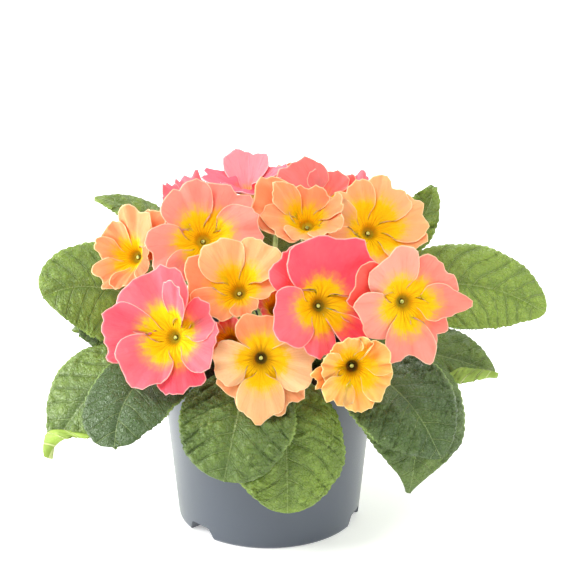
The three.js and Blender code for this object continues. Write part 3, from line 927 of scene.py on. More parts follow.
def leaf_relief(row, outward_mm, along_mm, side, seed):
    """(height in mm, pucker share) of the blade's surface at a place on it."""
    lifted = abs(outward_mm) * (VEIN_SLANT + VEIN_BEND * abs(outward_mm))
    cycle = (along_mm - lifted) / VEIN_SPACING + VEIN_STAGGER * side
    off_vein = abs(cycle - math.floor(cycle) - 0.5)
    away = smoothstep(abs(outward_mm), 1.0, 7.0)
    quilt = (1 - bell(off_vein, 0.16)) * away
    crinkle = math.cos(math.tau * (cycle * 3)) * smoothstep(abs(outward_mm), 8.0, 22.0)
    stray = noise.noise_vector(Vector((outward_mm * 0.15, along_mm * 0.15, seed)))
    cell = Vector((outward_mm / PUCKER_CELL, 1.3 * along_mm / PUCKER_CELL, seed)) + stray * 0.8
    distances, _ = noise.voronoi(cell)
    bubble = smoothstep(distances[1] - distances[0], 0.0, 0.6)
    bubble *= 0.6 + 0.8 * abs(noise.noise(cell * 0.4))
    height = QUILT_HEIGHT * quilt + PUCKER_HEIGHT * bubble * away + CRINKLE_HEIGHT * crinkle
    groove = GROOVE_DEPTH * bell(outward_mm, 1.6)
    return row["pucker"] * height - groove, clamp(0.35 * quilt + 0.65 * bubble)


print(f"leaf relief: puckers {PUCKER_CELL} mm wide and {PUCKER_HEIGHT} mm high")

# %% [markdown]
# ## A folded leaf edge
# A fold takes what lies beyond a line on the blade, lifts it by the height of a narrow bend and
# lays it back over the blade. The line runs in from the edge between two places along the leaf, so
# the fold starts at nothing. Where the leaf's outline should stay full, the blade is cut broader.

# %% Leaf fold
FOLD_HEIGHT = 1.3  # mm between the blade and the edge that lies over it
FOLD_RISE = 0.15  # how much the turned part rises for each mm
FOLD_BACK = 1.9  # 2 would lay the turned part back by all of its own width


def folded_edge(fold, across, along):
    """How much of the half width lies beyond the line along which the edge is turned over."""
    if not fold:
        return 0.0
    begin, end, depth, flank, _ = fold
    line = 1 - depth * smoothstep(along, begin, end)
    return max(across * flank - line, 0.0)


def folded_breadth(fold, across, along):
    """How much broader the blade is cut where its edge is turned over."""
    if not fold or across * fold[3] < 0:
        return 1.0
    begin, end, _, _, extra = fold
    return 1 + extra * smoothstep(along, begin, end)


print(f"leaf folds: {sum(bool(row['fold']) for row in LEAVES)} leaves have one")


# %% Leaves as meshes
def build_leaf(row, number):
    midrib = Curve(leaf_start(row), *[Vector(corner) for corner in row["corners"]])
    face = Vector(row["face"]).normalized()
    chance = random.Random(number)
    phase, phase_side = chance.uniform(0, math.tau), chance.uniform(0, math.tau)
    bm = bmesh.new()
    names = ("from_midrib", "along_midrib", "to_edge", "pucker", "tone")
    layers = {name: bm.verts.layers.float.new(name) for name in names}
    flesh = bm.verts.layers.deform.verify()
    bmesh.ops.create_grid(bm, x_segments=LEAF_COLUMNS, y_segments=LEAF_ROWS, size=1.0)
    frames = {}  # the middle of each row of corners, its sideways direction and its normal
    for vert in bm.verts:
        across = vert.co.x
        along = (vert.co.y + 1) / 2
        key = round(along * LEAF_ROWS)
        if key not in frames:
            tangent = midrib.direction(along)
            lean = smoothstep(along, *LEAF["turn"])
            side = tangent.cross(UP.lerp(face, lean)).normalized()
            frames[key] = (midrib.place(along), side, side.cross(tangent))
        centre, side, normal = frames[key]
        along_mm = along * midrib.length
        flank = 1 if across > 0 else -1
        swell = blade_swell(along, row["blunt"])
        half = blade_half(row, number, across, along, along_mm, swell, phase_side)
        outward_mm = across * half
        turned = folded_edge(row["fold"], across, along) * half
        stray = noise.noise(Vector((outward_mm * 0.05, along_mm * 0.05, number * 3.3)))
        vein_place = along_mm + VEIN_WANDER * stray
        height, swollen = leaf_relief(row, outward_mm, vein_place, flank, number * 7.3)
        fade = smoothstep(swell, 0.12, 0.55) * smoothstep(1 - abs(across), 0.0, 0.12)
        wave = math.sin(along * 11 + phase) + 0.6 * math.sin(along * 23 + phase_side + flank)
        lift = height * fade - row["droop"] * half * across * across
        lift += row["wave"] * wave * abs(across) ** 3 * swell
        lift += FOLD_HEIGHT * (1 - math.exp(-turned / FOLD_HEIGHT)) + FOLD_RISE * turned
        turned_back = flank * FOLD_BACK * turned
        vert.co = (centre + side * (outward_mm - turned_back) + normal * lift) * MM
        vert[layers["from_midrib"]] = outward_mm
        vert[layers["along_midrib"]] = vein_place
        vert[layers["to_edge"]] = half * (1 - abs(across)) + 6 * (1 - swell)
        # the pucker share, which the upper side's finish turns into painted shade in the hollows
        vert[layers["pucker"]] = mix(0.6, swollen, fade)
        vert[layers["tone"]] = row["tone"]
        rib = bell(outward_mm, 2.2) * mix(1.0, 0.25, along)
        thinnest = BLADE_THICKNESS / LEAF["stalk_thickness"]
        vert[flesh][0] = clamp(max(rib, thinnest, 1 - swell * 4))
    piece = make_piece(bm, f"leaf_{number:02d}", [leaf_blade, leaf_under])
    piece.vertex_groups.new(name="flesh")
    wall = piece.modifiers.new("wall", "SOLIDIFY")
    wall.thickness = LEAF["stalk_thickness"] * MM
    wall.offset = -1.0
    wall.vertex_group = "flesh"
    wall.material_offset = 1


for index, row in enumerate(LEAVES):
    build_leaf(row, index + 1)
print(f"leaves: {total_triangles('leaf')} triangles before their walls")

# %% [markdown]
# ## How a flower is described
# A primrose flower is one funnel whose edge is cut into five or six overlapping petals. It is
# described by the place of its throat, by the azimuth and elevation of the way it looks, by its cup
# angle, and by its petals. A petal has a clock angle, as seen by someone facing the flower, a
# length, and half the angle over which it spreads. The rest is its character:
#
# - tilt leans all of it and curl bends its tip, in degrees; lift raises it over its neighbours,
#   roll raises one side over the other and bowl raises both sides, in mm
# - notch cuts into the middle of its end, or below 0 lets it stand out there; skew makes one side
#   longer; taper makes it pointed; crease is the depth of its furrows
# - a fold, as where it starts and by how many degrees, turns one side of it forward
# - its blush is its share of rose, a real rose flush that, where it is high on petals in shadow or behind
#   others, is painted shade too; it is paler than the body where it is below 0; heart is how far the
#   yellow reaches, as a share of its length
#
# A petal that is narrow and has a low lift stands behind the others and closes a gap between them;
# where its blush is high, its rose paints the shade of that gap.
# How dark the throat is, given for each flower, is painted shade deep in its tube, over the throat's
# own olive.

# %% Flowers
def petal(clock, length, spread=44.0, **pose):
    """One petal's numbers, with lengths in mm and angles in degrees."""
    defaults = {
        "tilt": 0.0, "curl": 12.0, "lift": 0.0, "bowl": -0.6, "roll": 1.3, "notch": 0.12,
        "skew": 0.0, "taper": 0.0, "crease": 0.7, "fold_left": None, "fold_right": None,
        "blush": 0.3, "heart": 0.46,
    }
    return {"clock": clock % 360, "length": length, "spread": spread, **defaults, **pose}


def ring_of_petals(first, *lengths):
    """Even petals, the first at a clock angle."""
    step = 360 / len(lengths)
    return [petal(first + step * index, length) for index, length in enumerate(lengths)]


def flower(tint, at, faces, cup, petals, wave=1.0, throat_shade=0.3, root=None):
    """One flower's numbers. root is where its stalk leaves the crown, if that has to be said."""
    return {
        "tint": tint, "at": at, "faces": faces, "cup": cup, "wave": wave, "throat_shade": throat_shade, "root": root,
        "petals": sorted(petals, key=lambda shape: shape["clock"]),
    }


FLOWERS = [
    flower("peach", (-3, -67, 109), (0, 18), 78, [
        petal(2, 21, 56, blush=0.5, tilt=-8, notch=0.16, crease=1.2),
        petal(100, 24, 46, blush=-0.4, lift=0.4, bowl=-1.6),
        petal(148, 26, 36, blush=0.15, lift=-2.6),
        petal(180, 28, 42, blush=-0.15, lift=1.8, curl=28, notch=-0.12, taper=0.3, crease=0.3, roll=0),
        petal(218, 24, 36, blush=0.15, lift=-2.6),
        petal(262, 21, 46, blush=-0.4, lift=0.6)], throat_shade=1.0),
    flower("apricot", (38, -76, 109), (5, 10), 55, [
        petal(340, 17, 46, heart=0.62, blush=0.25, notch=0.05, skew=0.1),
        petal(24, 18, 40, fold_right=(0.12, 125), heart=0.66, blush=0.2, notch=-0.05),
        petal(66, 19.5, 44, heart=0.56, blush=0.35, notch=0.0, skew=-0.1),
        petal(118, 20, 44, curl=30, heart=0.62, blush=0.05),
        petal(170, 21, 42, curl=48, heart=0.56, blush=0.15, notch=-0.1, lift=-1.0),
        petal(216, 20, 42, curl=48, heart=0.5, blush=0.2, lift=0.8),
        petal(276, 17, 48, lift=0.6, heart=0.5, blush=0.1),
        petal(257, 23, 26, lift=-2.8, blush=0.5)], wave=1.8, throat_shade=1.0),
    flower("rose", (23, -62, 132.5), (18, 24), 74, [
        petal(14, 34, 68, blush=0.55, tilt=-12, lift=0.8, notch=0.1, curl=0, skew=0.05, heart=0.33),
        petal(85, 25, 46, blush=0.5, lift=-0.8),
        petal(138, 27, 36, blush=0.5, lift=-0.6, taper=0.5, fold_left=(0.1, 60), fold_right=(0.35, 50)),
        petal(190, 25, 34, blush=0.2, lift=-1.4, notch=-0.1, taper=0.4),
        petal(258, 24, 56, blush=0.1, lift=2.0, bowl=-1.2, curl=26, skew=-0.12),
        petal(328, 30, 40, blush=0.3, lift=-2.4, tilt=-6)], throat_shade=0.7),
    flower("salmon", (61, -58, 133), (18, 14), 74, [
        petal(336, 24, 52, blush=-0.25, lift=0.8, bowl=-1.4, skew=0.12),
        petal(55, 25, 50, blush=0.25, lift=-0.2, skew=0.1),
        petal(98, 28, 42, blush=0.25, lift=1.8, notch=-0.35, taper=0.5, skew=-0.2),
        petal(138, 25, 34, blush=0.2, lift=-2.4, curl=30),
        petal(182, 29, 42, blush=0.1, crease=1.4, skew=-0.1, notch=0.22),
        petal(252, 24, 46, blush=-0.2, lift=0.8, skew=0.15),
        petal(298, 27, 38, blush=1.1, lift=-2.2)], throat_shade=0.5),
    flower("peach", (47, -6, 147), (22, 40), 68, [
        petal(334, 24, 48, blush=0.1, tilt=-6, skew=0.1, heart=0.6),
        petal(38, 26, 46, blush=-0.15, notch=0.18, lift=0.6, heart=0.6),
        petal(86, 27, 46, blush=-0.1, lift=1.0, heart=0.6),
        petal(130, 27, 42, blush=0.0, lift=0.5, heart=0.55),
        petal(185, 23, 44, heart=0.6), petal(232, 28, 50, blush=0.2), petal(282, 23, 52, blush=0.1),
        petal(257, 24, 30, lift=-2.4, blush=0.3)]),
    flower("peach", (-13, -48, 133), (-12, 40), 64, [
        petal(326, 25, 46, blush=-0.1, bowl=-1.4, lift=1.0, skew=0.1),
        petal(28, 26, 48, blush=0.1, lift=1.6, bowl=-1.6), petal(75, 20, 38, lift=-1.6, skew=-0.2),
        petal(150, 14, 46), petal(220, 20, 50, blush=0.3, skew=0.3),
        petal(270, 27.5, 60, lift=-2.0, blush=0.6)]),
    flower("salmon", (-30, -28, 151), (0, 36), 74, [
        petal(334, 27, 46, blush=0.1, tilt=-8, lift=0.4), petal(33, 28, 44, lift=0.6, blush=0.15),
        petal(76, 26.7, 46, lift=3.0, blush=0.1, bowl=-1.5, skew=0.12),
        petal(150, 19, 46), petal(200, 23, 46),
        petal(246, 26.5, 52, lift=0.4, blush=0.0, skew=-0.1),
        petal(292, 20, 36, lift=-1.4, blush=1.0)], throat_shade=0.0),
    flower("peach", (18.2, -17, 154), (-5, 58), 56, [
        petal(308, 24, 36, lift=1.6, blush=0.35, tilt=-10, taper=0.3, notch=-0.08),
        petal(280, 30, 60, lift=-2.4, blush=0.4), petal(0, 19, 58, blush=0.6, lift=-0.6),
        petal(62, 21, 42, blush=0.3, taper=0.3, notch=-0.1), petal(125, 20, 52, blush=0.2),
        petal(188, 18, 52, blush=0.1), petal(242, 23, 56, blush=0.3, curl=26),
        petal(94, 19, 40, lift=-2.0, blush=0.5)], throat_shade=0.0),
    flower("peach", (-61.5, -10, 136.5), (-38, 22), 58, [
        petal(10, 26, 50, blush=0.5, tilt=4, lift=0.6, heart=0.34),
        petal(42, 28, 46, blush=0.5, tilt=20, lift=-1.2, heart=0.34),
        petal(86, 22, 46, blush=1.1, tilt=-6, lift=1.2, heart=0.16),
        petal(160, 19, 46, tilt=-12, blush=0.7, heart=0.3), petal(212, 21, 44, tilt=-4, blush=0.4, notch=0.2),
        petal(256, 19, 48, blush=0.45, notch=0.2, lift=0.6), petal(306, 19.5, 44, blush=0.5)]),
    flower("rose", (-42, -62, 117), (-26, 24), 68, [
        petal(326, 32, 64, blush=0.15, lift=0.8, notch=0.08, bowl=-1.6),
        petal(16, 31, 30, blush=0.3, tilt=-30, lift=1.6, notch=0, roll=3),
        petal(92, 26, 50, blush=0.2, lift=-2.0, notch=0.05),
        petal(154, 27, 42, blush=0.55, lift=-2.4, tilt=8, notch=-0.05),
        petal(212, 27, 56, blush=0.2, lift=1.0, skew=0.1, notch=-0.05),
        petal(264, 32, 42, blush=0.4, lift=-0.4, crease=1.4, notch=0.05),
        petal(52, 24, 40, lift=-2.6, blush=0.2)]),
    flower("pink", (-10, 31, 152), (180, 82), 52, [
        petal(20, 21, 60, tilt=32, blush=0.8, heart=0.1), petal(100, 25, 52, blush=0.7, tilt=16, heart=0.1),
        petal(175, 26, 52, curl=-6, heart=0.1, notch=0, blush=-0.2),
        petal(240, 23, 52, heart=0.1), petal(300, 24, 52, tilt=14, blush=0.4, heart=0.1),
        petal(56, 21.5, 36, lift=-2.0, tilt=22, blush=0.9, heart=0.1)], wave=0.4),
    flower("coral", (26.2, 18.5, 151), (15, 60), 60, [
        petal(20, 17, 62, blush=0.15, lift=1.2, heart=0.1), petal(76, 19.5, 46, blush=0.4), petal(150, 20),
        petal(240, 18), petal(332, 25, 54, blush=0.0, skew=-0.3, notch=0.05, heart=0.1)], wave=0.8),
    flower("pink", (43, 35, 146), (0, 60), 62, [
        petal(0, 15, 34, heart=0.1, notch=0), petal(72, 12), petal(144, 12), petal(216, 12), petal(288, 12)]),
    flower("pink", (-38.5, 28.5, 149.5), (0, 75), 66, [
        petal(0, 15, 46, heart=0.1, notch=0.3), petal(72, 16, 46, heart=0.1), petal(144, 14), petal(216, 14),
        petal(288, 13, 40, heart=0.1)], wave=1.4),
    flower("salmon", (-57.6, -30, 109.5), (-60, 25), 66, ring_of_petals(0, 13, 15, 15, 14, 14)),
    flower("coral", (-17, -38, 105), (-10, 30), 40, ring_of_petals(0, *[15] * 5), root=(-5.5, -13)),
    flower("rose", (-33, 68, 117.2), (-155, 35), 70, ring_of_petals(0, *[20.5] * 5)),
    flower("salmon", (4, 74, 135), (178, 35), 70, ring_of_petals(36, *[22] * 5)),
    flower("peach", (44, 70, 118), (155, 35), 70, ring_of_petals(0, *[21] * 5)),
    flower("coral", (3, -34, 119), (10, 45), 42, ring_of_petals(0, 15, *[13] * 4), root=(2, -6)),
]
print(f"{len(FLOWERS)} flowers with {sum(len(row['petals']) for row in FLOWERS)} petals")

# %% [markdown]
# ## The petal pattern, a shared effect
# All petals carry the same drawing: a throat darkened by painted shade deep in its tube, with a blurred
# rim, a fan of short olive streaks, a yellow heart with a scalloped edge, a body that runs from one
# colour to a rosier or a paler one, where a rosier body also paints shade on petals in shadow, faint
# veins that fan outward, and a thin cream margin. The mesh holds numbers at each corner for it: the
# distance from the throat, the distance to the margin, how far it is off the petal's middle, and the
# petal's blush and shade, heart, throat shade and number. Each colour then only says which paints to
# use.

# %% Petal pattern group
STREAK = rgb(176, 128, 0)
THROAT_PALE = rgb(178, 156, 26)
# a shaded copy of the throat's olive: painted shade deep in the tube
THROAT_SHADED = rgb(64, 58, 10)
THROAT_RIM = rgb(166, 134, 0)
# a shaded copy of the rim's olive gold: painted shade
THROAT_RIM_SHADED = rgb(128, 100, 4)
SIDE_RAY = 0.42  # how far off the petal's middle its side streaks and furrows lie

petal_pattern, group_in, group_out = new_group(
    "petal_pattern",
    {"Body": "colour", "Rosy": "colour", "Margin": "colour", "Heart": "colour"},
    {"Color": "colour", "Height": "value"},
)
calc, ramp, blend, held = tools_for(petal_pattern)
paints = group_in.outputs
reach = held("from_throat")
middle = held("off_middle")
blush = held("blush")
throat_shade = held("throat_shade")
drift = add_mottling(petal_pattern, 90.0, 420.0)
fan_place = add_node(petal_pattern, "ShaderNodeCombineXYZ", {
    "X": calc("MULTIPLY", middle, 9.0),
    "Y": calc("MULTIPLY", reach, 0.06),
    "Z": calc("MULTIPLY", held("petal_number"), 3.7),
}).outputs[0]
fan = noise_value(petal_pattern, fan_place, 1.6, 4.0)

# The body, rosier or paler, with its veins
# the rosy share: a real rose flush, and painted shade where the blush is high, on petals in shadow
rosy = calc("ADD", blush, calc("MULTIPLY_ADD", drift.outputs["Broad"], 0.9, -0.45))
rosy = calc("MAXIMUM", calc("MINIMUM", rosy, 1.0), 0.0)
body = blend(rosy, paints["Body"], paints["Rosy"])
body = blend(ramp(blush, 0.0, -1.0), body, paints["Margin"])
body = blend(ramp(fan, 0.52, 0.72, 0.0, 0.20), body, paints["Rosy"])

# The heart, whose edge is pulled in beside the petal's middle, and its glow
scallop = calc("MULTIPLY_ADD", calc("MULTIPLY", middle, middle), -0.22, 1.0)
wobble = calc("MULTIPLY_ADD", drift.outputs["Fine"], 6.0, -3.0)
wobble = calc("MULTIPLY_ADD", fan, 5.0, calc("SUBTRACT", wobble, 2.5))
past_heart = calc("SUBTRACT", reach, calc("MULTIPLY_ADD", held("heart"), scallop, wobble))
body = blend(ramp(past_heart, 6.0, -1.0, 0.0, 0.4), body, paints["Heart"])
body = blend(ramp(past_heart, 2.2, -2.4), body, paints["Heart"])

# The streaks, one in the middle and one at each side
off_side = calc("ABSOLUTE", calc("SUBTRACT", calc("ABSOLUTE", middle), SIDE_RAY))
rays = calc("MAXIMUM", ramp(calc("ABSOLUTE", middle), 0.16, 0.02), ramp(off_side, 0.14, 0.02, 0.0, 0.7))
rays = calc("MULTIPLY", rays, ramp(fan, 0.3, 0.6, 0.45, 1.0))
body = blend(calc("MULTIPLY", rays, ramp(reach, 10.5, 2.0, 0.0, 0.8)), body, STREAK)

# The throat's rim, the throat and the margin
# painted shade: the darker a flower's throat is set, the wider and darker its rim and the darker the throat,
# as shade deep in the tube
rim_reach = calc("MULTIPLY_ADD", fan, 3.4, calc("MULTIPLY_ADD", throat_shade, 2.2, 1.7))
rim_share = ramp(calc("DIVIDE", reach, rim_reach), 1.0, 0.1, 0.0, 0.75)
body = blend(rim_share, body, blend(throat_shade, THROAT_RIM, THROAT_RIM_SHADED))
body = blend(ramp(reach, 1.2, -0.6), body, blend(throat_shade, THROAT_PALE, THROAT_SHADED))
body = blend(ramp(held("to_margin"), 0.6, 0.15, 0.0, 0.56), body, paints["Margin"])
petal_height = calc("MULTIPLY_ADD", fan, 0.8, drift.outputs["Height"])
feed(group_out, Color=body, Height=petal_height)
print(f"petal_pattern group: {len(petal_pattern.nodes)} nodes")

# %% [markdown]
# ## Petal finishes
# Six colour mixes cover the plant, from peach to pink. A petal is thin and matt, with a velvety
# look that comes from light passing through it, so its shader has strong subsurface scattering and
# almost no gloss. Its back has no drawing: it is the body's colour, paler in patches, and yellow
# only close to the tube.

# %% Petal finishes
HEART_YELLOW = rgb(240, 180, 0)
BACK_YELLOW = rgb(226, 196, 96)
PETAL_PAINTS = {  # tint: (body, rosy, margin)
    "peach": (rgb(240, 164, 112), rgb(237, 114, 78), rgb(250, 216, 172)),
    "apricot": (rgb(242, 174, 104), rgb(238, 130, 40), rgb(250, 222, 164)),
    "salmon": (rgb(240, 138, 122), rgb(235, 90, 78), rgb(250, 206, 176)),
    "coral": (rgb(239, 118, 114), rgb(231, 70, 60), rgb(248, 196, 172)),
    "rose": (rgb(240, 106, 114), rgb(234, 52, 78), rgb(250, 190, 178)),
    "pink": (rgb(241, 126, 136), rgb(235, 84, 104), rgb(250, 196, 196)),
}


def petal_shader(name):
    return new_material(
        name, Roughness=0.62, Specular_IOR_Level=0.1, Subsurface_Weight=0.5,
        Subsurface_Radius=(1.0, 0.4, 0.25), Subsurface_Scale=0.0022,
    )


def petal_finish(tint):
    """The side of the petals that a flower shows."""
    body, rosy, margin = PETAL_PAINTS[tint]
    material, tree, shader = petal_shader(f"petal_{tint}")
    paints = {"Body": body, "Rosy": rosy, "Margin": margin, "Heart": HEART_YELLOW}
    pattern = place_group(tree, petal_pattern, paints).outputs
    feed(shader, Base_Color=pattern["Color"], Normal=bump_from(tree, pattern["Height"], 0.00035))
    return material


def petal_back_finish(tint):
    """The paler back of the petals."""
    body, _, margin = PETAL_PAINTS[tint]
    material, tree, shader = petal_shader(f"petal_{tint}_back")
    _, ramp, blend, held = tools_for(tree)
    mottle = add_mottling(tree, 120.0, 900.0).outputs
    paler = blend(ramp(mottle["Broad"], 0.3, 0.7, 0.0, 0.35), body, margin)
    paler = blend(ramp(held("from_throat"), 5.0, 0.0), paler, BACK_YELLOW)
    feed(shader, Base_Color=paler, Normal=bump_from(tree, mottle["Height"], 0.0003))
    return material


petal_materials = {tint: [petal_finish(tint), petal_back_finish(tint)] for tint in PETAL_PAINTS}
print(f"petal finishes: {', '.join(petal_materials)}")

# %% Stigma finish
STIGMA_PALE = rgb(206, 208, 110)
STIGMA_DARK = rgb(120, 128, 40)

stigma_green = mottled_finish(
    "stigma_green", (STIGMA_PALE, STIGMA_DARK), 900.0, 3000.0, spread=(0.4, 0.7), bump=0.0001,
    Roughness=0.5,
)[0]
print("stigma_green made")


# %% [markdown]
# ## Building a corolla
# Each petal is a grid in polar form: its columns fan out from the throat and its rows run outward.
# Up to the join, neighbours share their outer columns, so the limb is one surface there, as it is
# on the real flower. Past the join each petal spreads wider than its share and lies over the next
# one. The ring of edges round the throat is then extruded down into the tube, and a Solidify
# modifier gives it all a thin wall.

# %% Corolla profile
TUBE = {"length": 14.0, "mouth": 2.6}
JOIN = 4.5  # mm from the throat to where the petals part
FUNNEL_ANGLE = 34.0  # degrees by which the throat is steeper than the limb
FUNNEL_FADE = 4.0  # mm over which the funnel opens
PROFILE_STEPS = 70
RUFFLES = ((5, 1.2), (9, 1.1), (16, 0.9), (27, 0.5))  # waves in a full turn, height in mm
FOLD_RADIUS = 1.6  # mm


def facing(azimuth, elevation):
    """The way a flower looks."""
    rise = math.radians(elevation)
    return level(azimuth) * math.cos(rise) + UP * math.sin(rise)


def petal_slope_run(cup, shape):
    """Places [radius, height] in mm at even steps from the throat to the petal's tip."""
    step_length = shape["length"] * 1.35 / PROFILE_STEPS
    radius, height, run = TUBE["mouth"], 0.0, []
    for step in range(PROFILE_STEPS + 1):
        run.append((radius, height))
        distance = (step + 0.5) * step_length
        past = clamp((distance - JOIN) / (shape["length"] - JOIN))
        angle = cup - FUNNEL_ANGLE * math.exp(-distance / FUNNEL_FADE)
        angle += shape["tilt"] * smoothstep(distance, JOIN, JOIN + 6.0) + shape["curl"] * past**2
        radius += math.sin(math.radians(angle)) * step_length
        height += math.cos(math.radians(angle)) * step_length
    return run, step_length


def along_run(run, step_length, distance):
    """(radius, height) at a distance along a run."""
    position = clamp(distance / step_length, 0.0, len(run) - 1.001)
    index = int(position)
    share = position - index
    return [mix(a, b, share) for a, b in zip(run[index], run[index + 1])]


def ruffle(clock, phases):
    """A wavy height that comes back to itself after a full turn."""
    turn = math.radians(clock)
    return sum(high * math.sin(count * turn + phase) for (count, high), phase in zip(RUFFLES, phases))


def folded(sideways, half_width, fold):
    """Turns what lies beyond a fold line forward. Gives the new (sideways, height) in mm."""
    start, degrees = fold
    beyond = sideways - start * half_width
    if beyond <= 0:
        return sideways, 0.0
    full = math.radians(degrees)
    bent = min(beyond / FOLD_RADIUS, full)
    straight = beyond - bent * FOLD_RADIUS
    forward = FOLD_RADIUS * (1 - math.cos(bent)) + straight * math.sin(bent)
    return sideways - beyond + FOLD_RADIUS * math.sin(bent) + straight * math.cos(bent), forward


print(f"corolla: a tube {TUBE['length']} mm long, petals that part {JOIN} mm from its mouth")

# %% Petals
PETAL_COLUMNS = 28
PETAL_ROWS = 22
OUTLINE_SIDE = 3.2  # how square a petal's shoulders are
OUTLINE_TIP = 2.2  # how flat its end is
RAGGED = ((2.6, 0.15, 0), (9.0, 0.06, 1), (26.0, 0.02, 1))  # waves, share of the length, phase
MARGIN_REACH = 9.0  # mm from the margin beyond which the distance no longer counts


def petal_end(shape, across, index, phases):
    """How far a petal's end reaches there, as a share of its length."""
    ragged = sum(
        share * noise.noise(Vector((across * waves, index * 4.1, phases[phase])))
        for waves, share, phase in RAGGED
    )
    notched = (1 - shape["notch"] * bell(across, 0.24)) / (1 - min(shape["notch"], 0.0))
    return notched + (ragged * (1 - across**4) + shape["skew"] * across)


def add_petal(bm, layers, axes, flower, index, phases):
    """Adds one petal of a flower to its bmesh."""
    shapes = flower["petals"]
    shape = shapes[index]
    before, after = shapes[index - 1], shapes[(index + 1) % len(shapes)]
    seam_left = ((shape["clock"] - before["clock"]) % 360) / 2
    seam_right = ((after["clock"] - shape["clock"]) % 360) / 2
    run, step_length = petal_slope_run(flower["cup"], shape)
    centre, right, upward, axis = axes
    reach = shape["length"] - JOIN
    made = bmesh.ops.create_grid(bm, x_segments=PETAL_COLUMNS, y_segments=PETAL_ROWS, size=1.0)
    for vert in made["verts"]:
        across = math.sin(vert.co.x * math.pi / 2)
        out = (vert.co.y + 1) / 2
        side_power = OUTLINE_SIDE * (1 - shape["taper"])
        square = max(1 - abs(across) ** side_power, 0.0) ** (1 / OUTLINE_TIP)
        end = petal_end(shape, across, index, phases)
        edge = JOIN + reach * square * end
        distance = edge * out
        past = smoothstep(distance, JOIN, JOIN + 7.0)
        seam = seam_right if across > 0 else seam_left
        spread = mix(seam, shape["spread"], past)
        angle = across * spread
        radius, height = along_run(run, step_length, distance)
        share = clamp((distance - JOIN) / reach)
        fold = shape["fold_right"] if across > 0 else shape["fold_left"]
        if fold:
            half_width = math.radians(spread) * radius
            sideways, forward = folded(abs(across) * half_width, half_width, fold)
            angle = math.copysign(math.degrees(sideways / radius), across)
            height += forward * past
        clock = shape["clock"] + angle
        height += past * (shape["lift"] + shape["roll"] * across)
        height += shape["bowl"] * across * across * share
        height += flower["wave"] * ruffle(clock, phases) * share**1.6 * past
        groove = bell(across, 0.15) + 0.6 * bell(abs(across) - SIDE_RAY, 0.1)
        height -= shape["crease"] * groove * smoothstep(distance, 1.0, JOIN + 2.0) * (1 - share**2)
        turn = math.radians(clock)
        vert.co = (
            centre + right * (radius * math.sin(turn)) + upward * (radius * math.cos(turn)) + axis * height
        ) * MM
        local_reach = reach * end
        local_share = clamp((distance - JOIN) / local_reach)
        slope_out = OUTLINE_TIP * max(local_share, 0.05) ** (OUTLINE_TIP - 1) / local_reach
        slope_side = side_power * abs(across) ** (side_power - 1) / (math.radians(50) * radius)
        inside = 1 - abs(across) ** side_power - local_share**OUTLINE_TIP
        to_margin = MARGIN_REACH if distance < JOIN else inside / math.hypot(slope_out, slope_side)
        vert[layers["from_throat"]] = distance
        vert[layers["to_margin"]] = clamp(to_margin, 0.0, MARGIN_REACH)
        vert[layers["off_middle"]] = across
        # its rose share, partly painted shade
        vert[layers["blush"]] = shape["blush"]
        vert[layers["heart"]] = clamp(shape["heart"] * shape["length"], 3.0, 15.0)
        vert[layers["petal_number"]] = index + phases[1]
        # how much painted shade darkens the throat
        vert[layers["throat_shade"]] = flower["throat_shade"]


print(f"petals: {PETAL_COLUMNS} by {PETAL_ROWS} faces each")

# %% Tube and stigma
THROAT_RINGS = (  # radius, height in mm
    (2.35, -0.3), (1.9, -0.5), (1.3, -0.65), (1.25, -2.0), (1.4, -7.5), (1.35, 0.4 - TUBE["length"]),
)
STIGMA = {"radius": 0.95, "flatness": 0.6, "dimple": 0.45, "depth": 0.25}  # mm
STYLE = {"radius": 0.35, "length": 9.0, "depth": 4.6}


def add_tube(bm, layers, centre, axis):
    """Extrudes the ring of edges round the throat down into the closed tube."""
    edges = [
        edge for edge in bm.edges
        if edge.is_boundary and all(abs(vert[layers["from_throat"]]) < 0.01 for vert in edge.verts)
    ]
    for radius, depth in THROAT_RINGS:
        ring, edges = grow_ring(bm, edges)
        for vert in ring:
            place = vert.co / MM - centre
            outward = place - axis * place.dot(axis)
            vert.co = (centre + outward.normalized() * radius + axis * depth) * MM
            vert[layers["from_throat"]] = depth
            vert[layers["to_margin"]] = MARGIN_REACH
    bmesh.ops.contextual_create(bm, geom=edges)


def add_stigma(bm, centre, axis):
    """The round tip of the pistil, on its slim style, standing in the throat."""
    turn = axis.to_track_quat("Z", "Y").to_matrix().to_4x4()
    knob = bmesh.ops.create_uvsphere(bm, u_segments=14, v_segments=9, radius=STIGMA["radius"] * MM)
    style = bmesh.ops.create_cone(
        bm, cap_ends=True, segments=8, radius1=STYLE["radius"] * MM, radius2=STYLE["radius"] * MM,
        depth=STYLE["length"] * MM,
    )
    for vert in knob["verts"]:
        off_centre = math.hypot(vert.co.x, vert.co.y) / MM
        dimple = STIGMA["dimple"] * bell(off_centre, 0.4) if vert.co.z > 0 else 0.0
        height = vert.co.z * STIGMA["flatness"] - dimple * MM
        vert.co = turn @ Vector((vert.co.x, vert.co.y, height))
    for vert in style["verts"]:
        vert.co = turn @ (vert.co - Vector((0, 0, STYLE["depth"] * MM)))
    verts = knob["verts"] + style["verts"]
    bmesh.ops.translate(bm, verts=verts, vec=(centre - axis * STIGMA["depth"]) * MM)
    for face in {face for vert in verts for face in vert.link_faces}:
        face.material_index = 2


print(f"tube and stigma: {len(THROAT_RINGS)} rings, a knob {STIGMA['radius'] * 2} mm wide")

# %% Corollas
PETAL_WALL = 0.36  # mm


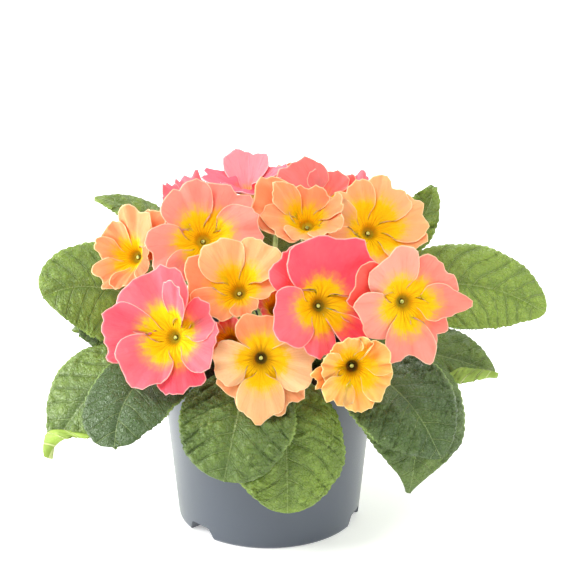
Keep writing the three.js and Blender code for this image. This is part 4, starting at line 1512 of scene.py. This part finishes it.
def thicken(bm, thickness, materials):
    """Gives a surface an even wall behind it, with a modifier that is applied at once."""
    sheet = scratch_object("sheet", bm)
    for material in materials:
        sheet.data.materials.append(material)
    wall = sheet.modifiers.new("wall", "SOLIDIFY")
    wall.thickness = thickness * MM
    wall.offset = -1.0
    wall.material_offset = 1
    evaluated = sheet.evaluated_get(bpy.context.evaluated_depsgraph_get())
    walled = bmesh.new()
    walled.from_mesh(evaluated.to_mesh())
    bpy.data.objects.remove(sheet)
    return walled


def build_corolla(flower, number):
    centre = Vector(flower["at"])
    axis = facing(*flower["faces"])
    right = UP.cross(axis).normalized()
    axes = (centre, right, axis.cross(right), axis)
    chance = random.Random(100 + number)
    phases = [chance.uniform(0, math.tau) for _ in range(4)]
    bm = bmesh.new()
    names = ("from_throat", "to_margin", "off_middle", "blush", "heart", "petal_number", "throat_shade")
    layers = {name: bm.verts.layers.float.new(name) for name in names}
    for index in range(len(flower["petals"])):
        add_petal(bm, layers, axes, flower, index, phases)
    bmesh.ops.remove_doubles(bm, verts=bm.verts, dist=0.01 * MM)
    add_tube(bm, layers, centre, axis)
    bmesh.ops.recalc_face_normals(bm, faces=bm.faces)
    if sum(face.normal.dot(axis) * face.calc_area() for face in bm.faces) < 0:
        bmesh.ops.reverse_faces(bm, faces=bm.faces)
    materials = [*petal_materials[flower["tint"]], stigma_green]
    bm = thicken(bm, PETAL_WALL, materials)
    add_stigma(bm, centre, axis)
    make_piece(bm, f"flower_{number:02d}", materials)


for index, row in enumerate(FLOWERS):
    build_corolla(row, index + 1)
print(f"corollas: {total_triangles('flower')} triangles")

# %% [markdown]
# ## Flower stalks
# A stalk is a pale, downy rod that widens into the calyx, a ribbed green cup with five teeth that
# holds the tube. Rod and cup are one surface: a circle is extruded ring by ring along the curve,
# out and up over the cup's wall, over the teeth, and down again inside it.

# %% Stalk finish
STALK_PALE = rgb(176, 188, 116)
STALK_GREEN = rgb(128, 156, 74)

flower_stalk = mottled_finish(
    "flower_stalk", (STALK_PALE, STALK_GREEN), 220.0, 2600.0, spread=(0.35, 0.65), bump=0.0002,
    Roughness=0.55, Sheen_Weight=0.3,
)[0]
print("flower_stalk made")

# %% Stalk curve
STEM = {"radius": 1.25, "seat": 0.6, "rise": 0.42, "lean": 0.3, "arrive": 0.34, "gap": 0.3}
ROOT = {"inner": 3.0, "outer": 12.5, "farthest": 72.0}


def stem_curve(flower, axis):
    """From the crown up to the foot of a flower's tube. Outer flowers start further out."""
    end = Vector(flower["at"]) - axis * (TUBE["length"] + STEM["gap"])
    outward = Vector((end.x, end.y, 0.0))
    away = outward.length
    outward.normalize()
    root = outward * mix(ROOT["inner"], ROOT["outer"], min(away / ROOT["farthest"], 1.0))
    if flower["root"]:
        root = Vector((*flower["root"], 0.0))
    root.z = crown_height(math.hypot(root.x, root.y)) + STEM["gap"] + STEM["seat"]
    span = (end - root).length
    rising = root + outward * span * STEM["lean"] + UP * span * STEM["rise"]
    return Curve(root, rising, end - axis * span * STEM["arrive"], end)


print(f"stalks: {STEM['radius'] * 2} mm thick")

# %% Stalk and calyx
STEM_SEGMENTS = 20
STEM_RINGS = 22
CALYX = {"height": 9.0, "ribs": 5, "rib_depth": 0.28, "tooth": 2.6}
CALYX_OUTSIDE = ((0.6, 2.4), (1.6, 3.15), (3.5, 3.2), (6.0, 3.7), (9.0, 3.9))  # height, radius
CALYX_INSIDE = ((8.9, 3.25), (5.0, 2.9), (1.2, 2.3), (0.55, 1.6))


def build_stem(flower, number):
    axis = facing(*flower["faces"])
    curve = stem_curve(flower, axis)
    bm = bmesh.new()
    turn_of = bm.verts.layers.float.new("turn")
    made = bmesh.ops.create_circle(bm, segments=STEM_SEGMENTS, radius=1.0, cap_ends=True)
    for vert in made["verts"]:
        vert[turn_of] = math.atan2(vert.co.y, vert.co.x)
    side = curve.direction(0).cross(Vector((0.31, 0.87, 0.12))).normalized()

    def set_ring(ring, centre, direction, radius, rib=0.0, tooth=0.0):
        """Places a ring round a direction, with ribs in its radius and teeth in its height."""
        nonlocal side
        side = (side - direction * side.dot(direction)).normalized()
        other = direction.cross(side)
        for vert in ring:
            turn = vert[turn_of]
            wave = math.cos(CALYX["ribs"] * turn)
            offset = side * math.cos(turn) + other * math.sin(turn)
            vert.co = (centre + offset * (radius + rib * wave) + direction * (tooth * wave)) * MM

    set_ring(made["verts"], curve.place(0), curve.direction(0), STEM["radius"])
    edges = list(bm.edges)
    for step in range(1, STEM_RINGS + 1):
        share = step / STEM_RINGS
        ring, edges = grow_ring(bm, edges)
        thick = STEM["radius"] * mix(1.08, 0.92, share)
        set_ring(ring, curve.place(share), curve.direction(share), thick)
    end = curve.place(1)
    for height, radius in CALYX_OUTSIDE:
        ring, edges = grow_ring(bm, edges)
        rib = CALYX["rib_depth"] * smoothstep(height, 0.5, 3.0)
        tooth = CALYX["tooth"] * 0.35 * smoothstep(height, 4.0, CALYX["height"])
        if height == CALYX["height"]:
            tooth = CALYX["tooth"]
        set_ring(ring, end + axis * height, axis, radius, rib, tooth)
    for height, radius in CALYX_INSIDE:
        ring, edges = grow_ring(bm, edges)
        tooth = CALYX["tooth"] - 0.1 if height > CALYX["height"] - 1 else 0.0
        set_ring(ring, end + axis * height, axis, radius, 0.0, tooth)
    bmesh.ops.contextual_create(bm, geom=edges)
    bmesh.ops.recalc_face_normals(bm, faces=bm.faces)
    make_piece(bm, f"stem_{number:02d}", [flower_stalk])


for index, row in enumerate(FLOWERS):
    build_stem(row, index + 1)
print(f"stalks: {total_triangles('stem')} triangles")
